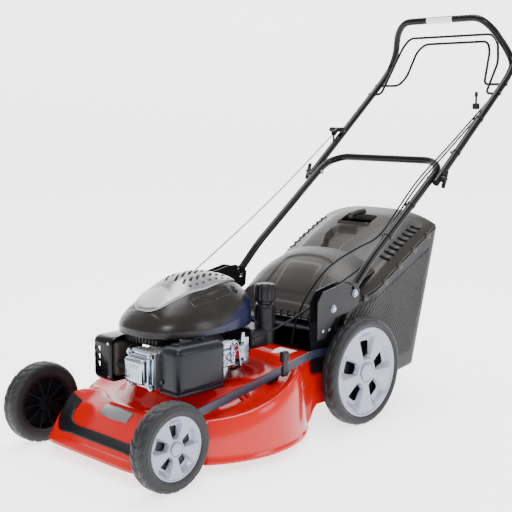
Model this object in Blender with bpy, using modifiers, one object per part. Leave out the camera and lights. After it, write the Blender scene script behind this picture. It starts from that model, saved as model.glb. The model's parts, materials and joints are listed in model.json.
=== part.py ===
"""A petrol lawn mower with a drive to its rear wheels, a folding handle and a grass box.

Lengths are in metres. X points to the mower's left, the front faces -Y and Z is up. The places below count Y from
the front axle, and the last step moves everything so that the origin is under the middle of the whole mower.
"""
import math

import bmesh
import bpy
from mathutils import Matrix, Vector

# Driving dimensions
WHEELBASE = 0.654
FRONT_WHEEL_R = 0.0983
REAR_WHEEL_R = 0.140
WHEEL_INNER_X = 0.2135
WHEEL_OUTER_X = 0.2600
LENGTH_MIDDLE_Y = 0.6485
GAP = 0.0003
SHEET = 0.0025

# Cutting deck
PAN_Y = 0.287
PAN_R = 0.281
DECK_REAR_Y = 0.665
DECK_HALF_X = 0.190
CRANK_Y = 0.285
PLATE_Z = 0.165

# Height adjustment: both axles swing on arms of the same length
ARM_Y = 0.0374
ARM_RISE = 0.0250
LEVER_Y = 0.0416
LEVER_Z = 0.0624
FRONT_PIVOT = (ARM_Y, FRONT_WHEEL_R - ARM_RISE)
REAR_PIVOT = (WHEELBASE + ARM_Y, REAR_WHEEL_R - ARM_RISE)
TIE_DROP = 0.045

# Handle
TUBE_R = 0.0105
LOWER_X = 0.2043
LOWER_TOP_X = 0.2060
UPPER_X = 0.2275
FOLD_LOWER = (0.560, 0.313)
LOCK_LOWER = (0.645, 0.342)
FOLD_UPPER = (1.000, 0.618)

X, Y, Z = Vector((1, 0, 0)), Vector((0, 1, 0)), Vector((0, 0, 1))


# Scene, materials and bodies
for old in list(bpy.data.objects):
    bpy.data.objects.remove(old)
PARTS = bpy.data.collections.new("lawn_mower")
CUTTERS = bpy.data.collections.new("cutters")
bpy.context.scene.collection.children.link(PARTS)
bpy.context.scene.collection.children.link(CUTTERS)


BODY_PLACE = {}


def empty(name, place, parent=None):
    """A body's frame, on its joint's axis."""
    frame = bpy.data.objects.new(name, None)
    frame.location = Vector(place) - (Vector(BODY_PLACE[parent.name]) if parent else Vector())
    frame.parent = parent
    BODY_PLACE[name] = Vector(place)
    PARTS.objects.link(frame)
    return frame


MOWER = empty("mower_frame", (0, 0, 0))


def paint(obj, colour, roughness, metallic=0.0):
    """The object's own Principled material."""
    made = bpy.data.materials.new(obj.name)
    made.use_nodes = True
    shader = made.node_tree.nodes["Principled BSDF"]
    shader.inputs["Base Color"].default_value = (*colour, 1.0)
    shader.inputs["Roughness"].default_value = roughness
    shader.inputs["Metallic"].default_value = metallic
    obj.data.materials.clear()
    obj.data.materials.append(made)


RED = ((0.62, 0.012, 0.008), 0.18)
BLACK_PAINT = ((0.012, 0.012, 0.013), 0.25)
BLACK_PLASTIC = ((0.022, 0.022, 0.025), 0.45)
GREY_PLASTIC = ((0.075, 0.070, 0.064), 0.55)
RUBBER = ((0.016, 0.016, 0.017), 0.75)
SILVER = ((0.56, 0.56, 0.62), 0.32, 0.35)
STEEL = ((0.50, 0.50, 0.52), 0.30, 1.0)
CAST = ((0.42, 0.42, 0.43), 0.50, 1.0)
CHROME = ((0.74, 0.74, 0.76), 0.12, 1.0)


def place(obj, body, look):
    """Gives a finished piece its look and hangs it on its body, where it stands."""
    paint(obj, *look)
    obj.parent = body
    obj.location = obj.location - BODY_PLACE[body.name]
    return obj


def new_object(name, mesh, collection=PARTS):
    obj = bpy.data.objects.new(name, mesh)
    collection.objects.link(obj)
    return obj


def from_bmesh(name, bm, smooth_angle=35):
    bmesh.ops.recalc_face_normals(bm, faces=bm.faces)
    mesh = bpy.data.meshes.new(name)
    bm.to_mesh(mesh)
    bm.free()
    mesh.shade_smooth()
    mesh.set_sharp_from_angle(angle=math.radians(smooth_angle))
    return new_object(name, mesh)


def turn_to(axis):
    """The rotation that takes +Z to the axis."""
    return Vector(axis).to_track_quat("Z", "Y").to_matrix().to_4x4()


def box(name, low, high, bevel=0.0, segments=2):
    """A box between two corners, with its edges rounded where asked."""
    low, high = Vector(low), Vector(high)
    bm = bmesh.new()
    bmesh.ops.create_cube(bm, size=1.0)
    size = high - low
    bmesh.ops.scale(bm, vec=size, verts=bm.verts)
    if bevel:
        bmesh.ops.bevel(bm, geom=bm.edges[:], offset=bevel, segments=segments, affect="EDGES", profile=0.5)
    bmesh.ops.translate(bm, vec=(low + high) / 2, verts=bm.verts)
    return from_bmesh(name, bm)


def cylinder(name, centre, axis, radius, length, sides=24, end_radius=None):
    """A cylinder or cone whose middle is at the centre, with its second radius at the axis's far end."""
    bm = bmesh.new()
    bmesh.ops.create_cone(bm, cap_ends=True, segments=sides, radius1=radius,
                          radius2=radius if end_radius is None else end_radius, depth=length)
    bmesh.ops.transform(bm, matrix=Matrix.Translation(Vector(centre)) @ turn_to(axis), verts=bm.verts)
    return from_bmesh(name, bm)


def turned(name, profile, centre, axis, sides=32):
    """A solid turned about the axis. The profile is (radius, height) down its outer side and back up any bore."""
    bm = bmesh.new()
    points = [bm.verts.new((r, 0, h)) for r, h in profile]
    closed = profile[0][0] > 0
    pairs = list(zip(points, points[1:]))
    if closed:
        pairs.append((points[-1], points[0]))
    for one, other in pairs:
        bm.edges.new((one, other))
    mesh = bpy.data.meshes.new(name)
    bm.to_mesh(mesh)
    bm.free()
    obj = new_object(name, mesh)
    screw = obj.modifiers.new("turn", "SCREW")
    screw.steps = sides
    screw.render_steps = sides
    screw.use_merge_vertices = True
    screw.merge_threshold = 0.00005
    screw.use_smooth_shade = False
    return solid(obj, Matrix.Translation(Vector(centre)) @ turn_to(axis))


def solid(obj, matrix=None, smooth_angle=35):
    """The object as its evaluated mesh, welded and moved, in place of a curve or a stack of modifiers."""
    bpy.context.view_layer.update()
    seen = obj.evaluated_get(bpy.context.evaluated_depsgraph_get())
    mesh = bpy.data.meshes.new_from_object(seen)
    name = obj.name
    world = obj.matrix_world.copy()
    bpy.data.objects.remove(obj)
    bm = bmesh.new()
    bm.from_mesh(mesh)
    bmesh.ops.transform(bm, matrix=(matrix or Matrix.Identity(4)) @ world, verts=bm.verts)
    bmesh.ops.remove_doubles(bm, verts=bm.verts, dist=0.00002)
    return from_bmesh(name, bm, smooth_angle)


def tube(name, points, radius, resolution=2):
    """A round bar or cable along the points, with closed ends."""
    curve = bpy.data.curves.new(name, "CURVE")
    curve.dimensions = "3D"
    curve.bevel_depth = radius
    curve.bevel_resolution = resolution
    curve.use_fill_caps = True
    curve.resolution_u = 1
    curve.render_resolution_u = 0
    line = curve.splines.new("POLY")
    line.points.add(len(points) - 1)
    for point, place_of in zip(line.points, points):
        point.co = (*place_of, 1.0)
    return new_object(name, curve)


def rounded_path(points, radius, steps=2):
    """The points of a bent tube: each inner corner becomes an arc that keeps clear of its neighbours."""
    points = [Vector(p) for p in points]
    path = [points[0]]
    for before, corner, after in zip(points, points[1:], points[2:]):
        back, on = (before - corner), (after - corner)
        reach = min(radius, back.length * 0.45, on.length * 0.45)
        start, end = corner + back.normalized() * reach, corner + on.normalized() * reach
        for i in range(steps + 1):
            t = i / steps
            path.append(start * (1 - t) ** 2 + corner * 2 * t * (1 - t) + end * t ** 2)
    path.append(points[-1])
    return path


def plate(name, outline, low, high, plane="YZ"):
    """A flat outline extruded between two values of the axis that its plane leaves out."""
    curve = bpy.data.curves.new(name, "CURVE")
    curve.dimensions = "2D"
    curve.fill_mode = "BOTH"
    curve.extrude = (high - low) / 2
    curve.resolution_u = 1
    curve.render_resolution_u = 0
    line = curve.splines.new("POLY")
    line.points.add(len(outline) - 1)
    for point, (a, b) in zip(line.points, outline):
        point.co = (a, b, 0, 1)
    line.use_cyclic_u = True
    axes = {"YZ": (Y, Z, X), "XY": (X, Y, Z), "XZ": (X, Z, -Y)}[plane]
    turn = Matrix([axes[0], axes[1], axes[2]]).transposed().to_4x4()
    middle = (low + high) / 2 * (-1 if plane == "XZ" else 1)
    return solid(new_object(name, curve), Matrix.Translation(axes[2] * middle) @ turn)


def boolean(target, tools, operation):
    """Cuts the tools from the target, or joins them to it, and removes them."""
    for tool in tools:
        change = target.modifiers.new(operation, "BOOLEAN")
        change.operation = operation
        change.object = tool
        change.solver = "EXACT"
    made = solid(target)
    for tool in tools:
        bpy.data.objects.remove(tool)
    return made


def cut(target, *tools):
    return boolean(target, tools, "DIFFERENCE")


def join(target, *tools):
    return boolean(target, tools, "UNION")


def mirrored(obj, name):
    """A separate copy on the other side of the mower."""
    bm = bmesh.new()
    bm.from_mesh(obj.data)
    bmesh.ops.scale(bm, vec=(-1, 1, 1), verts=bm.verts)
    bmesh.ops.reverse_faces(bm, faces=bm.faces)
    return from_bmesh(name, bm)


def smooth(value, low, high):
    """0 below low, 1 above high and an easy curve between."""
    t = max(0.0, min(1.0, (value - low) / (high - low)))
    return t * t * (3 - 2 * t)


# Deck: one pressed shell, described by its plan outline and its section in every direction from the pan's centre
NOSE_FRONT_Y = -0.042
NOSE_HALF_X = 0.188
NOSE_TOP = (0.060, 0.130)
DECK_SIDES = 48


def oval(dx, dy, half_x, half_y, power):
    """The distance to a rectangle with soft corners, along a direction."""
    return (abs(dx / half_x) ** power + abs(dy / half_y) ** power) ** (-1 / power)


def outline(angle):
    """The deck's plan radius: the round pan, the nose between the front wheels and the square rear."""
    dx, dy = math.cos(angle), math.sin(angle)
    if dy > 0:
        return max(PAN_R, oval(dx, dy, DECK_HALF_X, DECK_REAR_Y - PAN_Y, 16))
    reach = max(PAN_R, oval(dx, dy, NOSE_HALF_X, PAN_Y - NOSE_FRONT_Y, 10))
    limit = 0.1960 + 0.10 * smooth(PAN_Y + dy * reach, 0.095, 0.150)
    return min(reach, limit / max(abs(dx), 0.01))


def crest(y):
    """The height of the pan's shoulder, which climbs towards the discharge at the rear."""
    return 0.123 + 0.062 * smooth(y, 0.13, 0.52)


def nose_top(y):
    return max(0.045, NOSE_TOP[1] - 0.97 * (NOSE_TOP[0] - y))


def deck_section(angle):
    """(radius, height) from the shaft hole out to the skirt's lower lip."""
    dy = math.sin(angle)
    rim = outline(angle)
    beyond = smooth(rim - PAN_R, 0.0, 0.030)
    front = beyond if dy < 0 else 0.0
    rear = beyond if dy > 0 else 0.0
    ridge = 0.255 - 0.027 * front
    if dy < 0:
        ridge = min(ridge, rim - 0.024)
    top = crest(PAN_Y + dy * ridge)
    channel = top - 0.012
    section = [(0.030, PLATE_Z), (0.125, PLATE_Z), (0.150, PLATE_Z - 0.005), (0.182, channel),
               (ridge - 0.020, channel), (ridge, top + 0.007 * front)]
    outer = rim - 0.006 - 0.006 * (front + rear)
    for reach, side_height in ((max(ridge + 0.012, rim - 0.016), top - 0.005), (outer, top - 0.040)):
        y = PAN_Y + dy * reach
        height = side_height * (1 - front - rear) + nose_top(y) * front
        height += (crest(y) - 0.002) * rear
        section.append((reach, height))
    section.append((rim - 0.001, 0.036 + 0.100 * rear))
    section.append((rim + 0.004 * (1 - front - rear), 0.024 + 0.006 * front + 0.042 * rear))
    return section


def polar_shell(name, centre, section, count, thickness, closed_top=False):
    """A shell whose outer surface follows a section in every direction from a centre."""
    bm = bmesh.new()
    spokes = []
    for i in range(count):
        angle = 2 * math.pi * i / count
        spokes.append([bm.verts.new((centre[0] + r * math.cos(angle), centre[1] + r * math.sin(angle), h))
                       for r, h in section(angle)])
    for one, other in zip(spokes, spokes[1:] + spokes[:1]):
        for k in range(len(one) - 1):
            bm.faces.new((one[k], one[k + 1], other[k + 1], other[k]))
    if closed_top:
        bm.faces.new([spoke[0] for spoke in spokes])
    mesh = bpy.data.meshes.new(name)
    bm.to_mesh(mesh)
    bm.free()
    obj = new_object(name, mesh)
    shell = obj.modifiers.new("sheet", "SOLIDIFY")
    shell.thickness = thickness
    shell.offset = -1
    return solid(obj)


def deck():
    shell = polar_shell("deck", (0, PAN_Y), deck_section, DECK_SIDES, SHEET)
    mouth = box("mouth", (-0.1745, 0.575, -0.02), (0.1745, 0.80, 0.30))
    cheek_step = box("cheek_step", (-0.30, 0.685, 0.135), (0.30, 0.80, 0.30))
    shaft = cylinder("shaft_hole", (0, *REAR_PIVOT), X, 0.0085, 0.5, 20)
    rod = cylinder("rod_hole", (0, *FRONT_PIVOT), X, 0.0072, 0.5, 16)
    return place(cut(shell, mouth, cheek_step, shaft, rod), CHASSIS, RED)


def on_nose(x, y, lift):
    """A point on the nose's sloping top, raised squarely off it."""
    slope = math.atan(0.97)
    return Vector((x, y - lift * math.sin(slope), nose_top(y) + lift * math.cos(slope)))


def nose_strip(name, middle_line, half_width, thickness, look):
    """A moulded strip that lies on the nose's slope, along a line of (x, y) points."""
    bm = bmesh.new()
    rings = []
    for i, (x, y) in enumerate(middle_line):
        before = Vector(middle_line[max(i - 1, 0)])
        after = Vector(middle_line[min(i + 1, len(middle_line) - 1)])
        along = (after - before).normalized()
        side = Vector((-along.y, along.x)) * half_width
        ends = []
        for sign, lift in ((1, 0.0012), (1, thickness * 0.6), (0.6, thickness), (-0.6, thickness),
                           (-1, thickness * 0.6), (-1, 0.0012)):
            ends.append(bm.verts.new(on_nose(x + side.x * sign, y + side.y * sign * 0.72, lift)))
        rings.append(ends)
    for one, other in zip(rings, rings[1:]):
        for k in range(6):
            bm.faces.new((one[k], one[(k + 1) % 6], other[(k + 1) % 6], other[k]))
    bm.faces.new(rings[0])
    bm.faces.new(rings[-1])
    return place(from_bmesh(name, bm), CHASSIS, look)


def nose_trim():
    """The U-shaped grip that lies on the nose."""
    corner = [(0.150 - 0.040 * math.sin(a), 0.012 - 0.022 * (1 - math.cos(a))) for a in
              [math.pi / 2 * i / 4 for i in range(5)]]
    half = [(0.158, 0.044)] + corner + [(0.05, -0.010)]
    line = half + [(-x, y) for x, y in reversed(half)]
    return nose_strip("nose_trim", line, 0.0115, 0.006, BLACK_PLASTIC)


def badge_plate():
    """A blank plate on the nose, above the trim."""
    return nose_strip("badge_plate", [(0.055, 0.045), (0.0, 0.0435), (-0.055, 0.045)], 0.0105, 0.0025, SILVER)


def rear_housing():
    """The duct that carries the cuttings from the deck to the box, with the flap's hinge ears on its roof."""
    outer = box("rear_housing", (-0.1742, 0.5753, 0.140), (0.1742, 0.662, 0.246), 0.004)
    duct = box("duct", (-0.160, 0.50, 0.144), (0.160, 0.70, 0.240))
    ears = []
    for x in (-0.150, 0.146):
        ears.append(box("ear", (x, 0.600, 0.240), (x + 0.004, 0.624, 0.2650)))
    drilled = cylinder("pin_hole", (0, 0.612, 0.258), X, 0.0033, 0.5, 12)
    return place(cut(join(outer, *ears), duct, drilled), CHASSIS, BLACK_PLASTIC)


# Wheels: each has a rubber tyre and a silver rim with five pockets round its cap
WHEEL_SIDES = 26
RING_TEETH = 36
PINION_TEETH = 9
TOOTH_MODULE = 0.010 / 3
MESH_ANGLE = math.atan2(-ARM_RISE, ARM_Y)
AXLE_R = 0.006


def wheel_piece(name, profile, axle):
    """A turned piece of a left wheel. Heights count outwards from its inner face, and a facet faces the ground."""
    half = Matrix.Rotation(math.pi / WHEEL_SIDES, 4, "Z")
    obj = turned(name, profile, (0, 0, 0), Z, WHEEL_SIDES)
    out = Matrix.Rotation(math.pi / 2, 4, "Y")
    obj.data.transform(Matrix.Translation((WHEEL_INNER_X, *axle)) @ out @ half)
    return obj


def tyre(name, radius, seat, axle):
    real = radius / math.cos(math.pi / WHEEL_SIDES)
    profile = [(seat + 0.0003, 0.0440), (real - 0.014, 0.0465), (real - 0.003, 0.0400), (real, 0.0330),
               (real, 0.0135), (real - 0.003, 0.0065), (real - 0.014, 0.0), (seat + 0.0003, 0.0025)]
    return wheel_piece(name, profile, axle)


def toothed_outline(centre, teeth, root, tip, half_at_root, half_at_tip):
    """A gear's outline in the YZ plane, with one tooth on the line between the wheel's axle and the drive shaft."""
    points = []
    for k in range(teeth):
        middle = MESH_ANGLE + 2 * math.pi * k / teeth
        for radius, half in ((root, -half_at_root), (tip, -half_at_tip), (tip, half_at_tip), (root, half_at_root)):
            angle = middle + half / radius
            points.append((centre[0] + radius * math.cos(angle), centre[1] + radius * math.sin(angle)))
    return points


def ring_gear(axle):
    """The toothed ring inside a driven wheel, moulded into its web."""
    low, high = WHEEL_INNER_X + 0.0012, WHEEL_INNER_X + 0.0140
    blank = cylinder("ring", ((low + high) / 2, *axle), X, 0.0700, high - low, 20)
    pitch = RING_TEETH * TOOTH_MODULE / 2
    spaces = toothed_outline(axle, RING_TEETH, pitch - 0.0025, pitch + 0.0034, 0.0036, 0.0026)
    return cut(blank, plate("spaces", spaces, low - 0.01, high + 0.01))


def rim(name, seat, pocket, axle, inner_web, driven=False):
    """A wheel's disc, hub and cap in one moulding, with five pockets round the cap."""
    profile = [(0, 0.0455), (0.0150, 0.0450), (0.0200, 0.0380), (seat * 0.86, 0.0350),
               (seat - 0.004, 0.0440), (seat, 0.0440), (seat, 0.0025), (seat - 0.005, 0.0025),
               (seat - 0.008, inner_web), (0.018, inner_web), (0.018, 0.0030), (AXLE_R + GAP, 0.0030),
               (AXLE_R + GAP, 0.0370), (0, 0.0370)]
    made = wheel_piece(name, profile, axle)
    if driven:
        made = join(made, ring_gear(axle))
    near, far = pocket
    cutters = []
    for k in range(5):
        turn = math.pi / 2 + 2 * math.pi * k / 5
        shape = [(near, 0.36), (far * 0.92, 0.34), (far, 0.24)]
        corners = shape + [(r, -spread) for r, spread in reversed(shape)]
        points = [(axle[0] + r * math.cos(turn + a), axle[1] + r * math.sin(turn + a)) for r, a in corners]
        cutters.append(plate("pocket", points, WHEEL_INNER_X + inner_web + 0.0030, WHEEL_OUTER_X + 0.01))
    return cut(made, *cutters)


def wheels():
    front_axle, rear_axle = (0.0, FRONT_WHEEL_R), (WHEELBASE, REAR_WHEEL_R)
    pairs = (
        (FRONT_WHEELS, RUBBER, "front_tyre", tyre("front_tyre_left", FRONT_WHEEL_R, 0.0705, front_axle)),
        (FRONT_WHEELS, SILVER, "front_rim", rim("front_rim_left", 0.0705, (0.026, 0.050), front_axle, 0.026)),
        (REAR_WHEELS, RUBBER, "rear_tyre", tyre("rear_tyre_left", REAR_WHEEL_R, 0.1165, rear_axle)),
        (REAR_WHEELS, SILVER, "rear_rim", rim("rear_rim_left", 0.1165, (0.034, 0.078), rear_axle, 0.0130, True)),
    )
    for bodies, look, name, left in pairs:
        right = mirrored(left, f"{name}_right")
        place(left, bodies[1], look)
        place(right, bodies[-1], look)


# Axles, height link and transmission
PLATE_X = (0.1985, 0.2010)
LINK_X = (0.2022, 0.2062)


def slot_plate(one, other, radius, low, high):
    """A flat bar with round ends between two points (y, z)."""
    direction = math.atan2(other[1] - one[1], other[0] - one[0])
    points = []
    for centre, start in ((other, direction - math.pi / 2), (one, direction + math.pi / 2)):
        for i in range(6):
            angle = start + math.pi * i / 5
            points.append((centre[0] + radius * math.cos(angle), centre[1] + radius * math.sin(angle)))
    return plate("bar", points, low, high)


def swing_arm(pivot, axle, side, lever):
    """The plate at one end of an axle, with the wheel's stub and, on the left, the lever that the link moves."""
    low, high = sorted((side * PLATE_X[0], side * PLATE_X[1]))
    made = slot_plate(pivot, axle, 0.0125, low, high)
    stub = cylinder("stub", (side * 0.2240, *axle), X, AXLE_R, 0.0500, 14)
    made = join(made, stub)
    if lever:
        pin = (pivot[0] + LEVER_Y, pivot[1] + LEVER_Z)
        made = join(made, slot_plate(pivot, pin, 0.008, low, high))
        made = join(made, cylinder("pin", (0.2030, *pin), X, 0.0035, 0.0090, 12))
    return made


def front_axle():
    ends = [swing_arm(FRONT_PIVOT, (0.0, FRONT_WHEEL_R), side, side > 0) for side in (1, -1)]
    rod = cylinder("front_axle", (0, *FRONT_PIVOT), X, 0.0065, 0.398, 16)
    return place(join(rod, *ends), FRONT_AXLE, BLACK_PAINT)


def rear_axle():
    axle = (WHEELBASE, REAR_WHEEL_R)
    ends = []
    for side in (1, -1):
        arm = swing_arm(REAR_PIVOT, axle, side, side > 0)
        low, high = sorted((side * (PLATE_X[0] - 0.0010), side * (PLATE_X[1] - 0.0004)))
        tie_arm = slot_plate(REAR_PIVOT, (REAR_PIVOT[0], REAR_PIVOT[1] - TIE_DROP), 0.0100, low, high)
        bearing = cylinder("bearing", (side * 0.2, *REAR_PIVOT), X, 0.0064, 0.02, 14)
        ends.append(cut(join(arm, tie_arm), bearing))
    bar = cylinder("rear_axle", (0, REAR_PIVOT[0], REAR_PIVOT[1] - TIE_DROP), X, 0.0050, 0.398, 12)
    return place(join(bar, *ends), REAR_AXLE, BLACK_PAINT)


def link_bar():
    """The flat bar that ties both axles, with a raised knob near its rear end."""
    front = (FRONT_PIVOT[0] + LEVER_Y, FRONT_PIVOT[1] + LEVER_Z)
    rear = (REAR_PIVOT[0] + LEVER_Y, REAR_PIVOT[1] + LEVER_Z)
    middle = [front, (0.28, 0.167), (0.455, 0.1985), (0.500, 0.2050), (0.545, 0.2030), (0.620, 0.1900), rear]
    upper, lower = [], []
    for i, here in enumerate(middle):
        one, other = middle[max(i - 1, 0)], middle[min(i + 1, len(middle) - 1)]
        angle = math.atan2(other[1] - one[1], other[0] - one[0])
        upper.append((here[0] - 0.010 * math.sin(angle), here[1] + 0.010 * math.cos(angle)))
        lower.append((here[0] + 0.010 * math.sin(angle), here[1] - 0.010 * math.cos(angle)))
    ends = [(front[0] - 0.008, front[1] + 0.005), (front[0] - 0.008, front[1] - 0.006)]
    rear_ends = [(rear[0] + 0.009, rear[1] - 0.006), (rear[0] + 0.009, rear[1] + 0.005)]
    bar = plate("height_link", upper + rear_ends[::-1] + lower[::-1] + ends[::-1], *LINK_X)
    holes = [cylinder("hole", (0.204, *pin), X, 0.0038, 0.02, 12) for pin in (front, rear)]
    return place(cut(bar, *holes), HEIGHT_LINK, BLACK_PAINT)


CATCH_Y = 0.392


def height_parts():
    rack_points = [(0.425, 0.1860), (0.330, 0.1710), (0.330, 0.1640)]
    for k in range(5):
        y = 0.3350 + 0.0175 * k
        rise = 0.0028 * k
        rack_points += [(y, 0.1645 + rise), (y + 0.0050, 0.1585 + rise), (y + 0.0100, 0.1655 + rise)]
    rack_points += [(0.425, 0.1790)]
    foot = box("foot", (0.180, 0.352, 0.1602), (0.1990, 0.378, 0.1680))
    rack = join(plate("height_rack", rack_points, 0.1965, 0.2015), foot)
    place(rack, CHASSIS, BLACK_PLASTIC)
    stem = box("height_catch", (0.2065, CATCH_Y - 0.008, 0.170), (0.2105, CATCH_Y + 0.008, 0.222), 0.001)
    knob = box("knob", (0.1985, CATCH_Y - 0.011, 0.206), (0.2135, CATCH_Y + 0.011, 0.232), 0.004)
    place(join(stem, knob), HEIGHT_CATCH, BLACK_PLASTIC)


def drive():
    """The belt drive, the gearbox and the shaft with its two pinions."""
    body = box("gearbox", (-0.028, 0.662, 0.092), (0.028, 0.7150, 0.1310), 0.003)
    snout = box("snout", (-0.018, 0.626, 0.098), (0.018, 0.670, 0.116), 0.002)
    bore = cylinder("bore", (0, *REAR_PIVOT), X, 0.0063, 0.2, 20)
    stub_hole = cylinder("stub_hole", (0, 0.644, 0.108), Z, 0.0053, 0.04, 16)
    pulley_room = cylinder("pulley_room", (0, 0.644, 0.130), Z, 0.0280, 0.0270, 24)
    place(cut(join(body, snout), bore, stub_hole, pulley_room), CHASSIS, BLACK_PLASTIC)
    pulley = [(0, 0.1345), (0.0240, 0.1345), (0.0190, 0.1285), (0.0190, 0.1255), (0.0240, 0.1195),
              (0.0075, 0.1195), (0.0075, 0.1170), (0.0050, 0.1170), (0.0050, 0.0900), (0, 0.0900)]
    place(turned("gearbox_pulley", pulley, (0, 0.644, 0), Z, 20), GEAR_PULLEY, STEEL)
    belt_r = 0.0194
    outer, inner = [], []
    for grow, points in ((0.0070, outer), (0.0, inner)):
        for centre, start in ((0.644, 0.0), (CRANK_Y, math.pi)):
            for i in range(13):
                angle = start + math.pi * i / 12
                radius = belt_r + grow
                points.append((radius * math.cos(angle), centre + radius * math.sin(angle)))
    belt = plate("drive_belt", outer, 0.1259, 0.1281, "XY")
    place(cut(belt, plate("belt_gap", inner, 0.10, 0.15, "XY")), CHASSIS, RUBBER)
    shaft = cylinder("drive_shaft", (0, *REAR_PIVOT), X, 0.0060, 2 * (WHEEL_INNER_X + 0.0060), 16)
    pitch = PINION_TEETH * TOOTH_MODULE / 2
    teeth = toothed_outline(REAR_PIVOT, PINION_TEETH, pitch - 0.0034, pitch + 0.0022, 0.0030, 0.0011)
    gears = [plate("pinion", teeth, *sorted((s * (WHEEL_INNER_X + 0.0015), s * (WHEEL_INNER_X + 0.0110))))
             for s in (1, -1)]
    place(join(shaft, *gears), DRIVE_SHAFT, STEEL)


# Crankshaft, flywheel, blade
def cutting():
    crank = (0, CRANK_Y)
    shaft = [(0, 0.352), (0.0100, 0.352), (0.0125, 0.300), (0.0125, 0.0590), (0, 0.0590)]
    place(turned("crankshaft", shaft, (*crank, 0), Z, 24), CRANK, STEEL)
    hub = [(0.0128, 0.1350), (0.0240, 0.1345), (0.0190, 0.1285), (0.0190, 0.1255), (0.0240, 0.1195),
           (0.0170, 0.1190), (0.0170, 0.0585), (0.0300, 0.0560), (0.0300, 0.0500), (0.0050, 0.0500),
           (0.0050, 0.0587), (0.0128, 0.0587)]
    place(turned("blade_adapter", hub, (*crank, 0), Z, 16), CRANK, CAST)
    half = [(-0.250, -0.026), (-0.130, -0.027), (0.130, -0.027), (0.250, -0.020), (0.250, 0.026), (0.130, 0.027),
            (-0.130, 0.027), (-0.250, 0.020)]
    bar = plate("blade", [(x, CRANK_Y + y) for x, y in half], 0.0460, 0.0495, "XY")
    wings = []
    for side in (1, -1):
        wing = [(side * 0.175, side * 0.012), (side * 0.248, side * 0.012), (side * 0.248, side * 0.025),
                (side * 0.175, side * 0.026)]
        wings.append(plate("wing", [(x, CRANK_Y - y) for x, y in wing], 0.0480, 0.0610, "XY"))
    bore = cylinder("bore", (*crank, 0.05), Z, 0.0053, 0.05, 16)
    place(cut(join(bar, *wings), bore), CRANK, STEEL)
    screw = [(0, 0.0580), (0.0047, 0.0580), (0.0047, 0.0456), (0.0140, 0.0456), (0.0150, 0.0430),
             (0.0100, 0.0425), (0.0100, 0.0345), (0, 0.0345)]
    place(turned("blade_bolt", screw, (*crank, 0), Z, 12), CRANK, STEEL)
    wheel = [(0.0128, 0.305), (0.0128, 0.290), (0.085, 0.290), (0.085, 0.312), (0.060, 0.312), (0.058, 0.302),
             (0.030, 0.302), (0.028, 0.306)]
    disc = turned("flywheel", wheel, (*crank, 0), Z, 20)
    vanes = []
    for k in range(6):
        fin = box("vane", (0.034, -0.0012, 0.300), (0.072, 0.0012, 0.3240))
        spin = Matrix.Rotation(math.pi / 3 * k, 4, "Z")
        fin.data.transform(Matrix.Translation((*crank, 0)) @ spin)
        vanes.append(fin)
    place(join(disc, *vanes), CRANK, CAST)


# Engine
COVER_Y = 0.2620
COVER_HALF_X = 0.125
COVER_HALF_Y = 0.170
COVER_RIM_Z = 0.2845
PANEL_LIFT = 0.0060
PANEL_HALF_X = 0.062
PANEL_HALF_Y = 0.140
FRONT_PROFILE = ((0.0, 0.4115), (0.20, 0.4060), (0.36, 0.3945), (0.68, 0.3590), (0.88, 0.3320), (0.97, 0.3140),
                 (1.0, 0.3010))
REAR_PROFILE = ((0.0, 0.4115), (0.20, 0.4110), (0.36, 0.4080), (0.68, 0.3930), (0.88, 0.3720), (0.97, 0.3520),
                (1.0, 0.3300))
NECK = (0.096, 0.4400)
OIL_FILLER = (-0.080, 0.330)
BORE = (0.056, 0.2200)


def between(profile, share):
    """The height on a profile of (share, height) points."""
    for (a, low), (b, high) in zip(profile, profile[1:]):
        if share <= b:
            return low + (high - low) * (share - a) / (b - a)
    return profile[-1][1]


def cover_rim(angle):
    return oval(math.cos(angle), math.sin(angle), COVER_HALF_X, COVER_HALF_Y, 2.5)


def cover_height(angle, share):
    rear = max(0.0, math.sin(angle)) ** 1.5
    return between(FRONT_PROFILE, share) * (1 - rear) + between(REAR_PROFILE, share) * rear


def cover_section(angle):
    rim_radius = cover_rim(angle)
    section = [(rim_radius * share, cover_height(angle, share)) for share, _ in FRONT_PROFILE[1:]]
    return section + [(rim_radius * 0.998, COVER_RIM_Z)]


def engine_cover():
    shell = polar_shell("engine_cover", (0, COVER_Y), cover_section, 28, 0.0025, closed_top=True)
    place(shell, CHASSIS, BLACK_PLASTIC)

    def panel_section(angle):
        reach = oval(math.cos(angle), math.sin(angle), PANEL_HALF_X, PANEL_HALF_Y, 3.0)
        section = []
        for share in (0.243, 0.437, 0.65, 0.826, 1.0):
            radius = reach * share
            height = cover_height(angle, radius / cover_rim(angle)) + PANEL_LIFT
            section.append((radius, height))
        return section

    panel = polar_shell("top_panel", (0, COVER_Y), panel_section, 24, 0.0020, closed_top=True)
    place(panel, CHASSIS, SILVER)


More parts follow.
